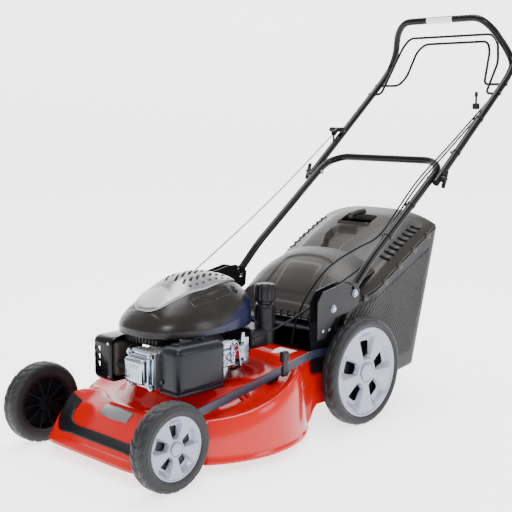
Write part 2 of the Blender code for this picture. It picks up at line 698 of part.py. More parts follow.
def engine_block():
    case = [(0.0128, 0.268), (0.0300, 0.268), (0.0320, 0.255), (0.0740, 0.248), (0.0780, 0.236), (0.0780, 0.176),
            (0.0940, 0.173), (0.0940, 0.1656), (0.0128, 0.1656)]
    body = turned("engine_block", case, (0, CRANK_Y, 0), Z, 20)
    fins = [(0, 0.110), (0.048, 0.110)]
    for k in range(3):
        y = 0.1190 + 0.0245 * k
        fins += [(0.048, y), (0.0350, y), (0.0350, y + 0.0170), (0.048, y + 0.0170)]
    fins += [(0.048, 0.192), (0.036, 0.192), (0.036, 0.260), (0, 0.260)]
    barrel = turned("barrel", [(r, -y) for r, y in fins], (BORE[0], 0, BORE[1]), -Y, 14)
    filler = [(0.0115, 0.2475), (0.0115, 0.172), (0, 0.172), (0, 0.230), (0.0085, 0.230), (0.0085, 0.2475)]
    filler = turned("oil_filler", filler, (*OIL_FILLER, 0), Z, 16)
    shaft_bore = cylinder("bore", (0, CRANK_Y, 0.2), Z, 0.0128, 0.3, 24)
    place(cut(join(body, barrel, filler), shaft_bore), CHASSIS, CAST)


def cylinder_top():
    x, z = BORE
    head = box("cylinder_head", (x - 0.042, 0.0760, z - 0.042), (x + 0.042, 0.1097, z + 0.042), 0.003)
    grooves = [box("groove", (x - 0.05, 0.0855 + 0.0085 * k, z + 0.028), (x + 0.05, 0.0895 + 0.0085 * k, z + 0.05))
               for k in range(2)]
    plug_hole = cylinder("plug_hole", (x - 0.0315, 0.092, z - 0.010), X, 0.0073, 0.035, 16)
    place(cut(head, plug_hole, *grooves), CHASSIS, CAST)
    flange = box("rocker_cover", (x - 0.042, 0.0715, z - 0.042), (x + 0.042, 0.0755, z + 0.042), 0.001)
    lid = box("lid", (x - 0.032, 0.0460, z - 0.030), (x + 0.032, 0.0725, z + 0.030), 0.006)
    place(join(flange, lid), CHASSIS, CHROME)
    plug = [(0, 0.036), (0.0070, 0.036), (0.0070, 0.009), (0.0100, 0.009), (0.0100, 0.002), (0.0065, 0.002),
            (0.0065, -0.020), (0.0110, -0.024), (0.0110, -0.046), (0.0080, -0.052), (0, -0.052)]
    made = turned("spark_plug", [(r, h - 0.052) for r, h in plug], (x, 0.092, z - 0.010), X, 16)
    place(made, CHASSIS, BLACK_PLASTIC)


def exhaust():
    can = box("muffler", (-0.121, 0.090, 0.174), (-0.058, 0.164, 0.260), 0.010)
    pipe = cylinder("pipe", (-0.046, 0.140, 0.222), X, 0.012, 0.040, 16)
    place(join(can, pipe), CHASSIS, ((0.05, 0.045, 0.04), 0.6, 0.6))
    guard = box("muffler_guard", (-0.131, 0.074, 0.164), (-0.050, 0.174, 0.272), 0.012)
    hollow = box("hollow", (-0.128, 0.077, 0.167), (-0.030, 0.171, 0.269), 0.010)
    slots = []
    for row in range(4):
        for column in range(2):
            x, z = -0.121 + 0.014 * column, 0.180 + 0.019 * row
            slots.append(box("slot", (x, 0.060, z), (x + 0.010, 0.084, z + 0.010)))
    place(cut(guard, hollow, *slots), CHASSIS, BLACK_PAINT)


def intake():
    shell = box("air_filter_cover", (0.1040, 0.080, 0.173), (0.1720, 0.232, 0.282), 0.016, 3)
    hollow = box("hollow", (0.0900, 0.0835, 0.1765), (0.1690, 0.2285, 0.2785), 0.010)
    place(cut(shell, hollow), CHASSIS, BLACK_PLASTIC)
    element = box("air_filter_element", (0.1045, 0.100, 0.190), (0.1560, 0.212, 0.264), 0.006)
    place(element, CHASSIS, ((0.45, 0.38, 0.12), 0.9))
    body = box("carburettor", (0.100, 0.236, 0.206), (0.148, 0.286, 0.250), 0.004)
    bowl = cylinder("bowl", (0.124, 0.261, 0.196), Z, 0.020, 0.040, 20)
    throat = cylinder("throat", (0.1023, 0.261, 0.228), X, 0.013, 0.0194, 16)
    bracket = box("bracket", (0.108, 0.284, 0.205), (0.146, 0.330, 0.208))
    upright = box("upright", (0.142, 0.300, 0.206), (0.146, 0.330, 0.268))
    rod = tube("rod", rounded_path([(0.138, 0.280, 0.262), (0.150, 0.290, 0.262), (0.150, 0.300, 0.200),
                                    (0.146, 0.318, 0.178)], 0.006, 3), 0.0022)
    rod = join(solid(rod), box("rod_foot", (0.136, 0.276, 0.246), (0.142, 0.284, 0.266)))
    place(join(body, bowl, throat, bracket, upright, rod), CHASSIS, CHROME)
    lever = [(0.300, 0.2560), (0.3060, 0.2480), (0.3120, 0.2480), (0.3160, 0.2560), (0.3120, 0.2825), (0.3040, 0.2825)]
    plate_lever = plate("engine_brake_lever", lever, 0.1475, 0.1500)
    pin = cylinder("pin", (0.1515, 0.308, 0.256), X, 0.0040, 0.008, 16)
    place(join(plate_lever, pin), ENGINE_LEVER, STEEL)


def fuel_and_oil():
    tank = box("fuel_tank", (-0.100, 0.372, 0.222), (0.118, 0.462, 0.2700), 0.010)
    neck = [(0.0200, 0.334), (0.0200, 0.328), (0.0255, 0.320), (0.0260, 0.230), (0.0150, 0.226), (0.0150, 0.334)]
    throat = cylinder("throat", (*NECK, 0.295), Z, 0.0150, 0.1, 18)
    tank = cut(tank, throat)
    neck_piece = turned("neck", neck, (*NECK, 0), Z, 18)
    place(join(tank, neck_piece), CHASSIS, BLACK_PLASTIC)
    cap = [(0, 0.3780), (0.0200, 0.3780), (0.0262, 0.3730), (0.0268, 0.3400), (0.0240, 0.3345), (0.0212, 0.3345),
           (0.0212, 0.3380), (0.0140, 0.3380), (0.0140, 0.3200), (0, 0.3200)]
    place(turned("fuel_cap", cap, (*NECK, 0), Z, 18), FUEL_CAP, BLACK_PLASTIC)
    stick = [(0, 0.262), (0.0130, 0.262), (0.0130, 0.250), (0.0080, 0.248), (0.0080, 0.236), (0, 0.236)]
    place(turned("oil_dipstick", stick, (*OIL_FILLER, 0), Z, 16), DIPSTICK, BLACK_PLASTIC)


# Rear flap, grass box and handle
FLAP_HINGE = (0.612, 0.258)


def flap_section():
    """(y, z) along the flap's outer face, from its hinge up and over the box's mouth."""
    return [(0.606, 0.270), (0.622, 0.300), (0.650, 0.345), (0.690, 0.385), (0.740, 0.412), (0.790, 0.425)]


def lofted(name, rows):
    """A closed body through rows of points, each row the same count, in order from one end to the other."""
    bm = bmesh.new()
    rings = [[bm.verts.new(p) for p in row] for row in rows]
    for one, other in zip(rings, rings[1:]):
        for k in range(len(one)):
            n = (k + 1) % len(one)
            bm.faces.new((one[k], one[n], other[n], other[k]))
    bm.faces.new(rings[0])
    bm.faces.new(rings[-1])
    return from_bmesh(name, bm)


def rear_flap():
    """The sprung flap: an arched plate, hung on the housing's pin."""
    face = flap_section()
    rows = []
    for x in [(-0.172 + 0.344 * i / 8) for i in range(9)]:
        drop = 0.047 * abs(x / 0.172) ** 2.6
        outer = [(x, y, z - drop * smooth(z, 0.26, 0.38)) for y, z in face]
        inner = [(x, y + 0.0025, z - drop * smooth(z, 0.26, 0.38) - 0.0025) for y, z in face]
        rows.append(outer + inner[::-1])
    panel = lofted("rear_flap", rows)
    knuckles = []
    for x in (-0.1440, 0.1290):
        knuckles.append(box("web", (x, 0.6065, 0.2560), (x + 0.015, 0.6175, 0.2790)))
        knuckles.append(cylinder("knuckle", (x + 0.0075, *FLAP_HINGE), X, 0.0060, 0.015, 10))
    notches = [cylinder("notch", (x, *FLAP_HINGE), X, 0.0170, 0.008, 20) for x in (-0.148, 0.148)]
    bore = cylinder("bore", (0, *FLAP_HINGE), X, 0.0033, 0.5, 12)
    place(cut(join(panel, *knuckles), bore, *notches), FLAP, GREY_PLASTIC)
    place(cylinder("flap_pin", (0, *FLAP_HINGE), X, 0.0030, 0.306, 12), CHASSIS, STEEL)


SEAM = ((0.6640, 0.2500), (0.6800, 0.2850), (0.8440, 0.3770), (0.9600, 0.4420), (1.0330, 0.4790))
FLOOR = ((0.6640, 0.1480), (0.6900, 0.1480), (0.7700, 0.1120), (0.8600, 0.0800), (0.9450, 0.0900))


BOX_WALL = 0.0030
BOX_TAIL = 0.012
LID_CROWNS = (0.030, 0.048, 0.070, 0.060, 0.036)
LID_GAP = 0.0005


def box_half(y):
    """Half of the box's width at its seam."""
    return 0.1700 + 0.0300 * smooth(y, 0.685, 0.78)


def stretched(rows, front, back):
    """The rows with their ends moved along Y."""
    rows[0] = [(x, y - front, z) for x, y, z in rows[0]]
    rows[-1] = [(x, y + back, z) for x, y, z in rows[-1]]
    return rows


def basket_rows(inset, lift):
    """The basket's cross-sections from its mouth to its rear, drawn in by the inset."""
    rows = []
    for (y, z), (fy, fz) in zip(SEAM, FLOOR):
        half = box_half(y) - inset
        half_low = 0.1600 + 0.0300 * smooth(fy, 0.70, 0.80) - inset
        rows.append([(-half, y, z + lift), (half, y, z + lift), (half_low, fy, fz + inset + 0.014),
                     (half_low - 0.014, fy, fz + inset), (-half_low + 0.014, fy, fz + inset),
                     (-half_low, fy, fz + inset + 0.014)])
    return rows


def lid_rows(inset, base):
    """The lid's crowned cross-sections over the same seam, drawn in by the inset."""
    rows = []
    for (y, z), crown in zip(SEAM, LID_CROWNS):
        half = box_half(y) - inset
        row = []
        for i in range(9):
            t = -1 + i / 4
            row.append((half * t, y, z + LID_GAP + 0.006 + (crown - inset) * (1 - abs(t) ** 3.0)))
        row += [(half, y, z + base), (-half, y, z + base)]
        rows.append(row)
    return rows


def with_tail(rows):
    """The rows with one more behind them, for the rounded rear edge."""
    return rows + [[(x * 0.985, y + BOX_TAIL, z) for x, y, z in rows[-1]]]


def grass_box():
    """The basket, open at its mouth and top, and the hollow lid that closes it, with its grip's well."""
    inside = stretched(basket_rows(BOX_WALL, 0.05), 0.03, BOX_TAIL - 0.005)
    basket = lofted("grass_box", with_tail(basket_rows(0.0, 0.0)))
    place(cut(basket, lofted("inside", inside)), GRASS_BOX, GREY_PLASTIC)

    outer = lofted("grass_box_lid", with_tail(lid_rows(0.0, LID_GAP)))
    cup = box("cup", (-0.058, 0.902, 0.452), (0.058, 0.963, 0.60))
    cup = boolean(cup, [lofted("cup_top", with_tail(lid_rows(0.0, LID_GAP)))], "INTERSECT")
    inside = stretched(lid_rows(BOX_WALL, -0.05), 0.03, BOX_TAIL - 0.005)
    lid = join(cut(outer, lofted("inside", inside)), cup)
    grip_well = box("grip_well", (-0.055, 0.905, 0.455), (0.055, 0.960, 0.60), 0.008)
    place(cut(lid, grip_well), GRASS_BOX, GREY_PLASTIC)


BAIL_R = 0.0040
DRIVE_PIVOT = (1.290, 0.8560)
BRAKE_PIVOT = (1.326, 0.8837)
GUIDE = Vector((-UPPER_X, 1.095, 0.7335))
ROPE_EXIT = Vector((-0.045, 0.330, 0.4050))
PULL = (GUIDE - ROPE_EXIT).normalized()


def both_sides(half):
    """A path on the left side, followed by its mirror image back down the right side."""
    return half + [(-x, y, z) for x, y, z in reversed(half)]


def bracket(side, label):
    """The channel that holds the handle's foot: two plates, a web, and the pivot bolt through them."""
    inner_shape = [(0.508, 0.150), (0.500, 0.335), (0.520, 0.360), (0.600, 0.374), (0.655, 0.366), (0.668, 0.348),
                   (0.664, 0.312), (0.635, 0.296), (0.600, 0.250), (0.585, 0.208), (0.570, 0.150)]
    outer_shape = [(0.500, 0.242), (0.500, 0.335), (0.520, 0.360), (0.600, 0.374), (0.655, 0.366), (0.668, 0.348),
                   (0.664, 0.312), (0.630, 0.297), (0.570, 0.290), (0.532, 0.242)]
    plates = []
    for shape, near, far in ((inner_shape, 0.1906, 0.1935), (outer_shape, 0.2152, 0.2177)):
        plates.append(plate("plate", shape, *sorted((side * near, side * far))))
    web = box("web", (min(side * 0.1906, side * 0.2177), 0.500, 0.243), (max(side * 0.1906, side * 0.2177), 0.503, 0.286))
    slot = []
    for radius, order in ((0.0898 + 0.0048, 1), (0.0898 - 0.0048, -1)):
        for i in range(6)[::order]:
            angle = math.radians(14.5 + 60 * i / 5)
            slot.append((FOLD_LOWER[0] + radius * math.cos(angle), FOLD_LOWER[1] + radius * math.sin(angle)))
    made = join(plates[0], plates[1], web)
    made = cut(made, plate("slot", slot, *sorted((side * 0.18, side * 0.23))))
    bolt = cylinder("bolt", (side * 0.2038, *FOLD_LOWER), X, 0.0040, 0.0330, 16)
    head = cylinder("head", (side * 0.2200, *FOLD_LOWER), X, 0.0070, 0.0050, 6)
    made = join(made, bolt, head)
    made.name = f"handle_bracket_{label}"
    place(made, CHASSIS, BLACK_PAINT)


def lock_bolt(side, label):
    """The bolt that locks the lower handle in the bracket's slot, with its head outside."""
    shank = cylinder(f"lock_bolt_{label}", (side * 0.2030, *LOCK_LOWER), X, 0.0040, 0.0340, 16)
    head = cylinder("head", (side * 0.2210, *LOCK_LOWER), X, 0.0085, 0.0050, 16)
    place(join(shank, head), LOWER_HANDLE, CHROME)


def lower_handle():
    half = [(LOWER_X, 0.548, 0.3090), (LOWER_X, 0.645, 0.3420), (LOWER_X + 0.0005, 0.731, 0.4230),
            (LOWER_TOP_X, 1.008, 0.6280), (0.200, 1.038, 0.6480), (0.160, 1.0620, 0.6640)]
    made = solid(tube("lower_handle", rounded_path(both_sides(half), 0.035), TUBE_R, 2), None, 50)
    holes = []
    for side in (1, -1):
        for spot in (FOLD_LOWER, LOCK_LOWER, FOLD_UPPER):
            holes.append(cylinder("hole", (side * 0.205, *spot), X, 0.0043, 0.035, 10))
    place(cut(made, *holes), LOWER_HANDLE, BLACK_PAINT)


def upper_handle():
    half = [(UPPER_X, 0.985, 0.6065), (UPPER_X, 1.345, 0.8985), (0.2250, 1.388, 0.9440), (0.2050, 1.383, 0.9870),
            (0.1720, 1.347, 1.0520), (0.1350, 1.330, 1.0830)]
    made = solid(tube("upper_handle", rounded_path(both_sides(half), 0.030), TUBE_R, 2), None, 50)
    post = cylinder("post", (GUIDE.x, GUIDE.y, GUIDE.z - 0.0193), Z, 0.0030, 0.0286, 12)
    ring = [(0.0050, 0.002), (0.0085, 0.002), (0.0085, -0.002), (0.0050, -0.002)]
    eye = turned("eye", ring, GUIDE, PULL, 20)
    made = join(made, post, eye)
    holes = []
    for side in (1, -1):
        holes.append(cylinder("hole", (side * UPPER_X, *FOLD_UPPER), X, 0.0043, 0.035, 10))
        holes.append(cylinder("hole", (side * UPPER_X, *DRIVE_PIVOT), X, 0.0043, 0.035, 10))
        holes.append(cylinder("hole", (side * UPPER_X, *BRAKE_PIVOT), X, 0.0043, 0.035, 10))
    place(cut(made, *holes), UPPER_HANDLE, BLACK_PAINT)


def fold_knob(side, label):
    """The wing knob and its screw, through both tubes at the fold."""
    shank = cylinder(f"fold_knob_{label}", (side * 0.2190, *FOLD_UPPER), X, 0.0040, 0.0480, 16)
    hub = cylinder("hub", (side * 0.2460, *FOLD_UPPER), X, 0.0090, 0.0140, 20, 0.0070)
    wings = []
    for turn in (math.radians(70), math.radians(250)):
        tip = (FOLD_UPPER[0] + 0.020 * math.cos(turn), FOLD_UPPER[1] + 0.020 * math.sin(turn))
        wings.append(slot_plate(FOLD_UPPER, tip, 0.006, *sorted((side * 0.2440, side * 0.2520))))
    end = cylinder("end", (side * 0.1930, *FOLD_UPPER), X, 0.0075, 0.0040, 6)
    place(join(shank, hub, end, *wings), KNOBS[side], BLACK_PLASTIC)


def bail(name, points, body):
    """A bent wire hung between the two tubes of the upper handle."""
    path = rounded_path(points, 0.016)
    place(tube(name, path, BAIL_R, 2), body, BLACK_PAINT)


def bails():
    drive = [(0.2330, *DRIVE_PIVOT), (0.1925, *DRIVE_PIVOT), (0.1900, 1.357, 0.950), (0.1740, 1.380, 1.008),
             (0.1500, 1.385, 1.036)]
    bail("drive_bail", both_sides(drive), DRIVE_BAIL)
    brake = [(0.2330, *BRAKE_PIVOT), (0.1640, *BRAKE_PIVOT), (0.1640, 1.352, 0.985), (0.1500, 1.360, 1.013),
             (-0.0750, 1.360, 1.013), (-0.1000, 1.353, 0.990), (-0.1250, 1.334, 0.910), (-0.1500, *BRAKE_PIVOT),
             (-0.2330, *BRAKE_PIVOT)]
    bail("brake_bail", brake, BRAKE_BAIL)


THROTTLE_PIVOT = (1.212, 0.8150)


def throttle():
    pod = box("throttle_lever", (0.2000, THROTTLE_PIVOT[0] - 0.010, THROTTLE_PIVOT[1] - 0.006),
              (0.2160, THROTTLE_PIVOT[0] + 0.010, THROTTLE_PIVOT[1] + 0.012), 0.003)
    stick = box("stick", (0.2050, THROTTLE_PIVOT[0] - 0.004, THROTTLE_PIVOT[1]),
                (0.2110, THROTTLE_PIVOT[0] + 0.004, THROTTLE_PIVOT[1] + 0.045), 0.002)
    place(join(pod, stick), THROTTLE, BLACK_PLASTIC)


def starter():
    """The pull grip, which rests on the rope's eye, and the rope down to the engine's cover."""
    seat = GUIDE + PULL * 0.0030
    stem = cylinder("starter_grip", seat + PULL * 0.012, PULL, 0.0080, 0.0230, 20, 0.0060)
    bar = cylinder("bar", seat + PULL * 0.026, X, 0.0080, 0.060, 20)
    place(join(stem, bar), GRIP, BLACK_PLASTIC)
    end = seat - PULL * 0.0001
    points = []
    for i in range(9):
        t = i / 8
        here = ROPE_EXIT.lerp(end, t)
        points.append((here.x, here.y, here.z - 0.012 * math.sin(math.pi * t)))
    points[-1] = tuple(GUIDE + PULL * 0.0020)
    place(tube("starter_rope", points, 0.0016, 1), UPPER_HANDLE, RUBBER)


def cable(name, points, radius):
    place(tube(name, rounded_path(points, 0.06), radius, 1), UPPER_HANDLE, RUBBER)


def cables():
    cable("drive_cable", [(0.2125, 1.270, 0.8330), (0.2125, 1.065, 0.7040), (0.1900, 0.950, 0.6150),
                          (0.1900, 0.780, 0.4700), (0.1750, 0.705, 0.4480), (0.1350, 0.640, 0.4050),
                          (0.1020, 0.592, 0.3300), (0.0900, 0.562, 0.2600), (0.0870, 0.552, 0.2000)], 0.0025)
    cable("engine_cable", [(0.2125, 1.300, 0.8420), (0.2125, 1.065, 0.6930), (0.1900, 0.955, 0.6040),
                           (0.1900, 0.720, 0.4020), (0.1820, 0.640, 0.3700), (0.1700, 0.540, 0.3180),
                           (0.1600, 0.430, 0.2800), (0.1500, 0.338, 0.2620)], 0.0025)


# Bodies, each on the axis that it turns about or slides along
CHASSIS = empty("chassis_frame", (0, 0, 0), MOWER)
FRONT_AXLE = empty("front_axle_frame", (0, *FRONT_PIVOT), CHASSIS)
REAR_AXLE = empty("rear_axle_frame", (0, *REAR_PIVOT), CHASSIS)
FRONT_WHEELS = {s: empty(f"front_wheel_frame_{s}", (s * 0.235, 0, FRONT_WHEEL_R), FRONT_AXLE) for s in (1, -1)}
REAR_WHEELS = {s: empty(f"rear_wheel_frame_{s}", (s * 0.235, WHEELBASE, REAR_WHEEL_R), REAR_AXLE) for s in (1, -1)}
HEIGHT_LINK = empty("height_link_frame", (0.204, FRONT_PIVOT[0] + LEVER_Y, FRONT_PIVOT[1] + LEVER_Z), FRONT_AXLE)
HEIGHT_CATCH = empty("height_catch_frame", (0.208, CATCH_Y, 0.19), HEIGHT_LINK)
DRIVE_SHAFT = empty("drive_shaft_frame", (0, *REAR_PIVOT), REAR_AXLE)
GEAR_PULLEY = empty("gearbox_pulley_frame", (0, 0.644, 0.127), CHASSIS)
CRANK = empty("crankshaft_frame", (0, CRANK_Y, 0.2), CHASSIS)
ENGINE_LEVER = empty("engine_lever_frame", (0.15, 0.308, 0.256), CHASSIS)
FUEL_CAP = empty("fuel_cap_frame", (*NECK, 0.355), CHASSIS)
DIPSTICK = empty("dipstick_frame", (*OIL_FILLER, 0.25), CHASSIS)
FLAP = empty("rear_flap_frame", (0, *FLAP_HINGE), CHASSIS)
GRASS_BOX = empty("grass_box_frame", (0, 0.664, 0.25), CHASSIS)
LOWER_HANDLE = empty("lower_handle_frame", (0, *FOLD_LOWER), CHASSIS)
UPPER_HANDLE = empty("upper_handle_frame", (0, *FOLD_UPPER), LOWER_HANDLE)
KNOBS = {s: empty(f"fold_knob_frame_{s}", (s * 0.23, *FOLD_UPPER), UPPER_HANDLE) for s in (1, -1)}
DRIVE_BAIL = empty("drive_bail_frame", (0, *DRIVE_PIVOT), UPPER_HANDLE)
BRAKE_BAIL = empty("brake_bail_frame", (0, *BRAKE_PIVOT), UPPER_HANDLE)
THROTTLE = empty("throttle_frame", (0.208, *THROTTLE_PIVOT), UPPER_HANDLE)
GRIP = empty("starter_grip_frame", GUIDE, UPPER_HANDLE)

deck()
nose_trim()
badge_plate()
rear_housing()
wheels()
front_axle()
rear_axle()
link_bar()
height_parts()
drive()
cutting()
engine_block()
cylinder_top()
exhaust()
intake()
fuel_and_oil()
engine_cover()
rear_flap()
grass_box()
for side, label in ((1, "left"), (-1, "right")):
    bracket(side, label)
    lock_bolt(side, label)
    fold_knob(side, label)
lower_handle()
upper_handle()
bails()
throttle()
starter()
cables()
MOWER.location = (0, -LENGTH_MIDDLE_Y, 0)
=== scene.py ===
"""The looks of a petrol lawn mower: fine surfaces, finishes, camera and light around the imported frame.

Lengths are in metres. Shapes are drawn with Y counted from the front axle, and SHIFT moves them into
the frame.
"""

import json
from math import atan2, cos, hypot, pi, radians, sin

import bmesh
import bpy
from mathutils import Matrix, Vector

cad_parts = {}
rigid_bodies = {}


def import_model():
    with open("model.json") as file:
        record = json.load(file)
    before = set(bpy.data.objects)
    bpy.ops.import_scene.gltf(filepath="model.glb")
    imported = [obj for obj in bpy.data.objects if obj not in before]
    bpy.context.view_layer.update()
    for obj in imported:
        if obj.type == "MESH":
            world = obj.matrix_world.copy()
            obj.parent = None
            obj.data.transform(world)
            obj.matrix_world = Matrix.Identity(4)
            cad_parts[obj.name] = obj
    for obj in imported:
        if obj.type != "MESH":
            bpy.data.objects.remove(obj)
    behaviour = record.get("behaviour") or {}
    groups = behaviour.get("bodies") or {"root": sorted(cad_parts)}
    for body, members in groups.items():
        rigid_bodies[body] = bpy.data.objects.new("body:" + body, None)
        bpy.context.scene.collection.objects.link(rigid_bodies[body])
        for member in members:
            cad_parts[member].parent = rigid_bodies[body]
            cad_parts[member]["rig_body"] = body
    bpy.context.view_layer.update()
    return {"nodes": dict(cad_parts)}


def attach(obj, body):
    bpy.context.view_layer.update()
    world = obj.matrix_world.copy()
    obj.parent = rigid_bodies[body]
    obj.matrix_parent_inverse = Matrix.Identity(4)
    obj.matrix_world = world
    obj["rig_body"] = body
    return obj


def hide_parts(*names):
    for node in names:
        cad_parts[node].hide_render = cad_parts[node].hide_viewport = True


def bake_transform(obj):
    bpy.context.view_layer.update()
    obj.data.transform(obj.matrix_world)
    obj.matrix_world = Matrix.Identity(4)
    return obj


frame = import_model()
SHIFT = -0.6485
X, Y, Z = Vector((1, 0, 0)), Vector((0, 1, 0)), Vector((0, 0, 1))
SCENE = bpy.context.scene


# Finishes
ROUGH_SPREAD = 0.06
GRAIN_DEPTH = 0.0006
DUST_COLOUR = (0.34, 0.33, 0.31, 1)


def finish(name, colour, roughness, metallic=0.0, coat=0.0, mottle=0.06, patch=9.0, grain=0.0,
           grain_size=0.0012, dust=0.0, shine=0.5):
    """A procedural surface: soft colour patches, uneven polish, a fine grain, dust on upward faces."""
    made = bpy.data.materials.new(name)
    made.use_nodes = True
    nodes, links = made.node_tree.nodes, made.node_tree.links
    shader = nodes["Principled BSDF"]
    where = nodes.new("ShaderNodeTexCoord").outputs["Object"]

    def noise(scale, detail=3.0):
        made_noise = nodes.new("ShaderNodeTexNoise")
        made_noise.inputs["Scale"].default_value = scale
        made_noise.inputs["Detail"].default_value = detail
        links.new(where, made_noise.inputs["Vector"])
        return made_noise.outputs["Fac"]

    tint = nodes.new("ShaderNodeValToRGB")
    for stop, place, change in zip(tint.color_ramp.elements, (0.3, 0.7), (-mottle, mottle)):
        stop.position = place
        stop.color = (*[min(1.0, c * (1 + change)) for c in colour], 1)
    links.new(noise(patch), tint.inputs["Fac"])
    colour_out = tint.outputs["Color"]
    if dust:
        up = nodes.new("ShaderNodeSeparateXYZ")
        links.new(nodes.new("ShaderNodeNewGeometry").outputs["Normal"], up.inputs["Vector"])
        amount = nodes.new("ShaderNodeMath")
        amount.operation = "MULTIPLY"
        amount.use_clamp = True
        amount.inputs[1].default_value = dust
        links.new(up.outputs["Z"], amount.inputs[0])
        mix = nodes.new("ShaderNodeMix")
        mix.data_type = "RGBA"
        mix.inputs["B"].default_value = DUST_COLOUR
        links.new(amount.outputs[0], mix.inputs["Factor"])
        links.new(colour_out, mix.inputs["A"])
        colour_out = mix.outputs["Result"]
    links.new(colour_out, shader.inputs["Base Color"])
    polish = nodes.new("ShaderNodeMapRange")
    polish.inputs["To Min"].default_value = max(0.02, roughness - ROUGH_SPREAD)
    polish.inputs["To Max"].default_value = roughness + ROUGH_SPREAD
    links.new(noise(patch * 3.1, 4.0), polish.inputs["Value"])
    links.new(polish.outputs["Result"], shader.inputs["Roughness"])
    if grain:
        bump = nodes.new("ShaderNodeBump")
        bump.inputs["Strength"].default_value = grain
        bump.inputs["Distance"].default_value = GRAIN_DEPTH
        links.new(noise(1.0 / grain_size, 2.0), bump.inputs["Height"])
        links.new(bump.outputs["Normal"], shader.inputs["Normal"])
    shader.inputs["Metallic"].default_value = metallic
    shader.inputs["Coat Weight"].default_value = coat
    shader.inputs["Coat Roughness"].default_value = 0.04
    shader.inputs["Specular IOR Level"].default_value = shine
    return made


RED = finish("red_enamel", (0.44, 0.0018, 0.0012), 0.17, coat=0.06, mottle=0.04, grain=0.02,
             grain_size=0.006, shine=0.3)
BLACK_GLOSS = finish("black_enamel", (0.003, 0.003, 0.004), 0.16, mottle=0.2, grain=0.03,
                     grain_size=0.004, shine=0.18)
BLUE_BLACK = finish("blue_black_enamel", (0.012, 0.014, 0.03), 0.34, mottle=0.1, grain=0.06, grain_size=0.002,
                    shine=0.35)
BLACK_PLASTIC = finish("black_plastic", (0.005, 0.005, 0.007), 0.34, mottle=0.15, grain=0.1, shine=0.22)
COVER_PLASTIC = finish("cover_plastic", (0.0075, 0.0062, 0.0056), 0.28, mottle=0.12, grain=0.06,
                       dust=0.008, shine=0.26)
# A bluish painted reflection for the lower rear of the engine cover's left side.
COVER_PAINTED_REFLECTION = finish("cover_painted_reflection", (0.006, 0.008, 0.034), 0.3, mottle=0.12, grain=0.06, shine=0.26)
FILTER_PLASTIC = finish("filter_plastic", (0.005, 0.0055, 0.01), 0.3, mottle=0.12, grain=0.08, shine=0.2)
BOX_PLASTIC = finish("box_plastic", (0.018, 0.0158, 0.0138), 0.38, mottle=0.1, grain=0.12,
                     dust=0.012, shine=0.28)
# The box plastic again, painted darker and bluer as painted shade for the basket's side walls.
BOX_PAINTED_SHADE = finish("box_side_painted_shade", (0.011, 0.011, 0.014), 0.42, mottle=0.1, grain=0.14, shine=0.22)
SLAT_DARK = finish("slat_shadow", (0.012, 0.011, 0.011), 0.6, mottle=0.2, grain=0.1)
SLAT = finish("slat_plastic", (0.046, 0.045, 0.047), 0.42, mottle=0.1, grain=0.12, shine=0.34)
TYRE = finish("tyre_rubber", (0.008, 0.0085, 0.0105), 0.52, mottle=0.18, patch=22, grain=0.3,
              grain_size=0.0016, dust=0.015, shine=0.3)
SILVER = finish("silver_plastic", (0.25, 0.25, 0.33), 0.3, metallic=0.3, coat=0.15, mottle=0.03, grain=0.05)
PANEL_SILVER = finish("panel_silver", (0.23, 0.23, 0.24), 0.3, metallic=0.75, mottle=0.05, grain=0.05)
PAD_SILVER = finish("pad_silver", (0.48, 0.455, 0.465), 0.35, metallic=0.35, mottle=0.03, grain=0.04)
STEEL = finish("steel", (0.52, 0.52, 0.54), 0.3, metallic=1.0, mottle=0.08, patch=40, grain=0.1)
ZINC = finish("zinc", (0.27, 0.29, 0.36), 0.22, metallic=1.0, mottle=0.14, patch=55, grain=0.08)
CHROME = finish("polished_alloy", (0.3, 0.34, 0.41), 0.13, metallic=1.0, mottle=0.12, patch=30, grain=0.05)
CAST = finish("cast_alloy", (0.34, 0.34, 0.35), 0.48, metallic=0.9, mottle=0.12, patch=60, grain=0.5,
              grain_size=0.0009)
CAST_DARK = finish("cast_iron", (0.1, 0.1, 0.1), 0.55, metallic=0.7, mottle=0.2, grain=0.4)
HEATED = finish("heated_steel", (0.06, 0.05, 0.045), 0.6, metallic=0.6, mottle=0.3, patch=30, grain=0.3)
FOAM = finish("filter_foam", (0.42, 0.35, 0.12), 0.9, mottle=0.2, patch=80, grain=0.8, grain_size=0.002)
RUBBER = finish("black_rubber", (0.004, 0.004, 0.006), 0.42, mottle=0.2, grain=0.15, shine=0.12)
LABEL = finish("blank_label", (0.8, 0.78, 0.76), 0.45, mottle=0.05, patch=120, grain=0.02)


# Mesh helpers
def angles(count):
    """Angles spaced evenly round a whole turn."""
    return [2 * pi * k / count for k in range(count)]


def added(name, mesh):
    """A new object of the scene."""
    obj = bpy.data.objects.new(name, mesh)
    SCENE.collection.objects.link(obj)
    return obj


def shaded(mesh, sharp):
    mesh.shade_smooth()
    mesh.set_sharp_from_angle(angle=radians(sharp))
    return mesh


def mesh_object(name, bm, sharp=35, outwards=True):
    if outwards:
        bmesh.ops.recalc_face_normals(bm, faces=bm.faces)
    mesh = bpy.data.meshes.new(name)
    bm.to_mesh(mesh)
    bm.free()
    return added(name, shaded(mesh, sharp))


def skin(name, rows, wrap_rows=False, wrap_points=True, caps=False, sharp=35):
    """A surface through rows of points, with its ends closed where asked."""
    bm = bmesh.new()
    rings = [[bm.verts.new(p) for p in row] for row in rows]
    pairs = list(zip(rings, rings[1:]))
    if wrap_rows:
        pairs.append((rings[-1], rings[0]))
    count = len(rings[0])
    for one, other in pairs:
        for k in range(count if wrap_points else count - 1):
            n = (k + 1) % count
            bm.faces.new((one[k], one[n], other[n], other[k]))
    if caps:
        bm.faces.new(rings[0])
        bm.faces.new(rings[-1])
    return mesh_object(name, bm, sharp)


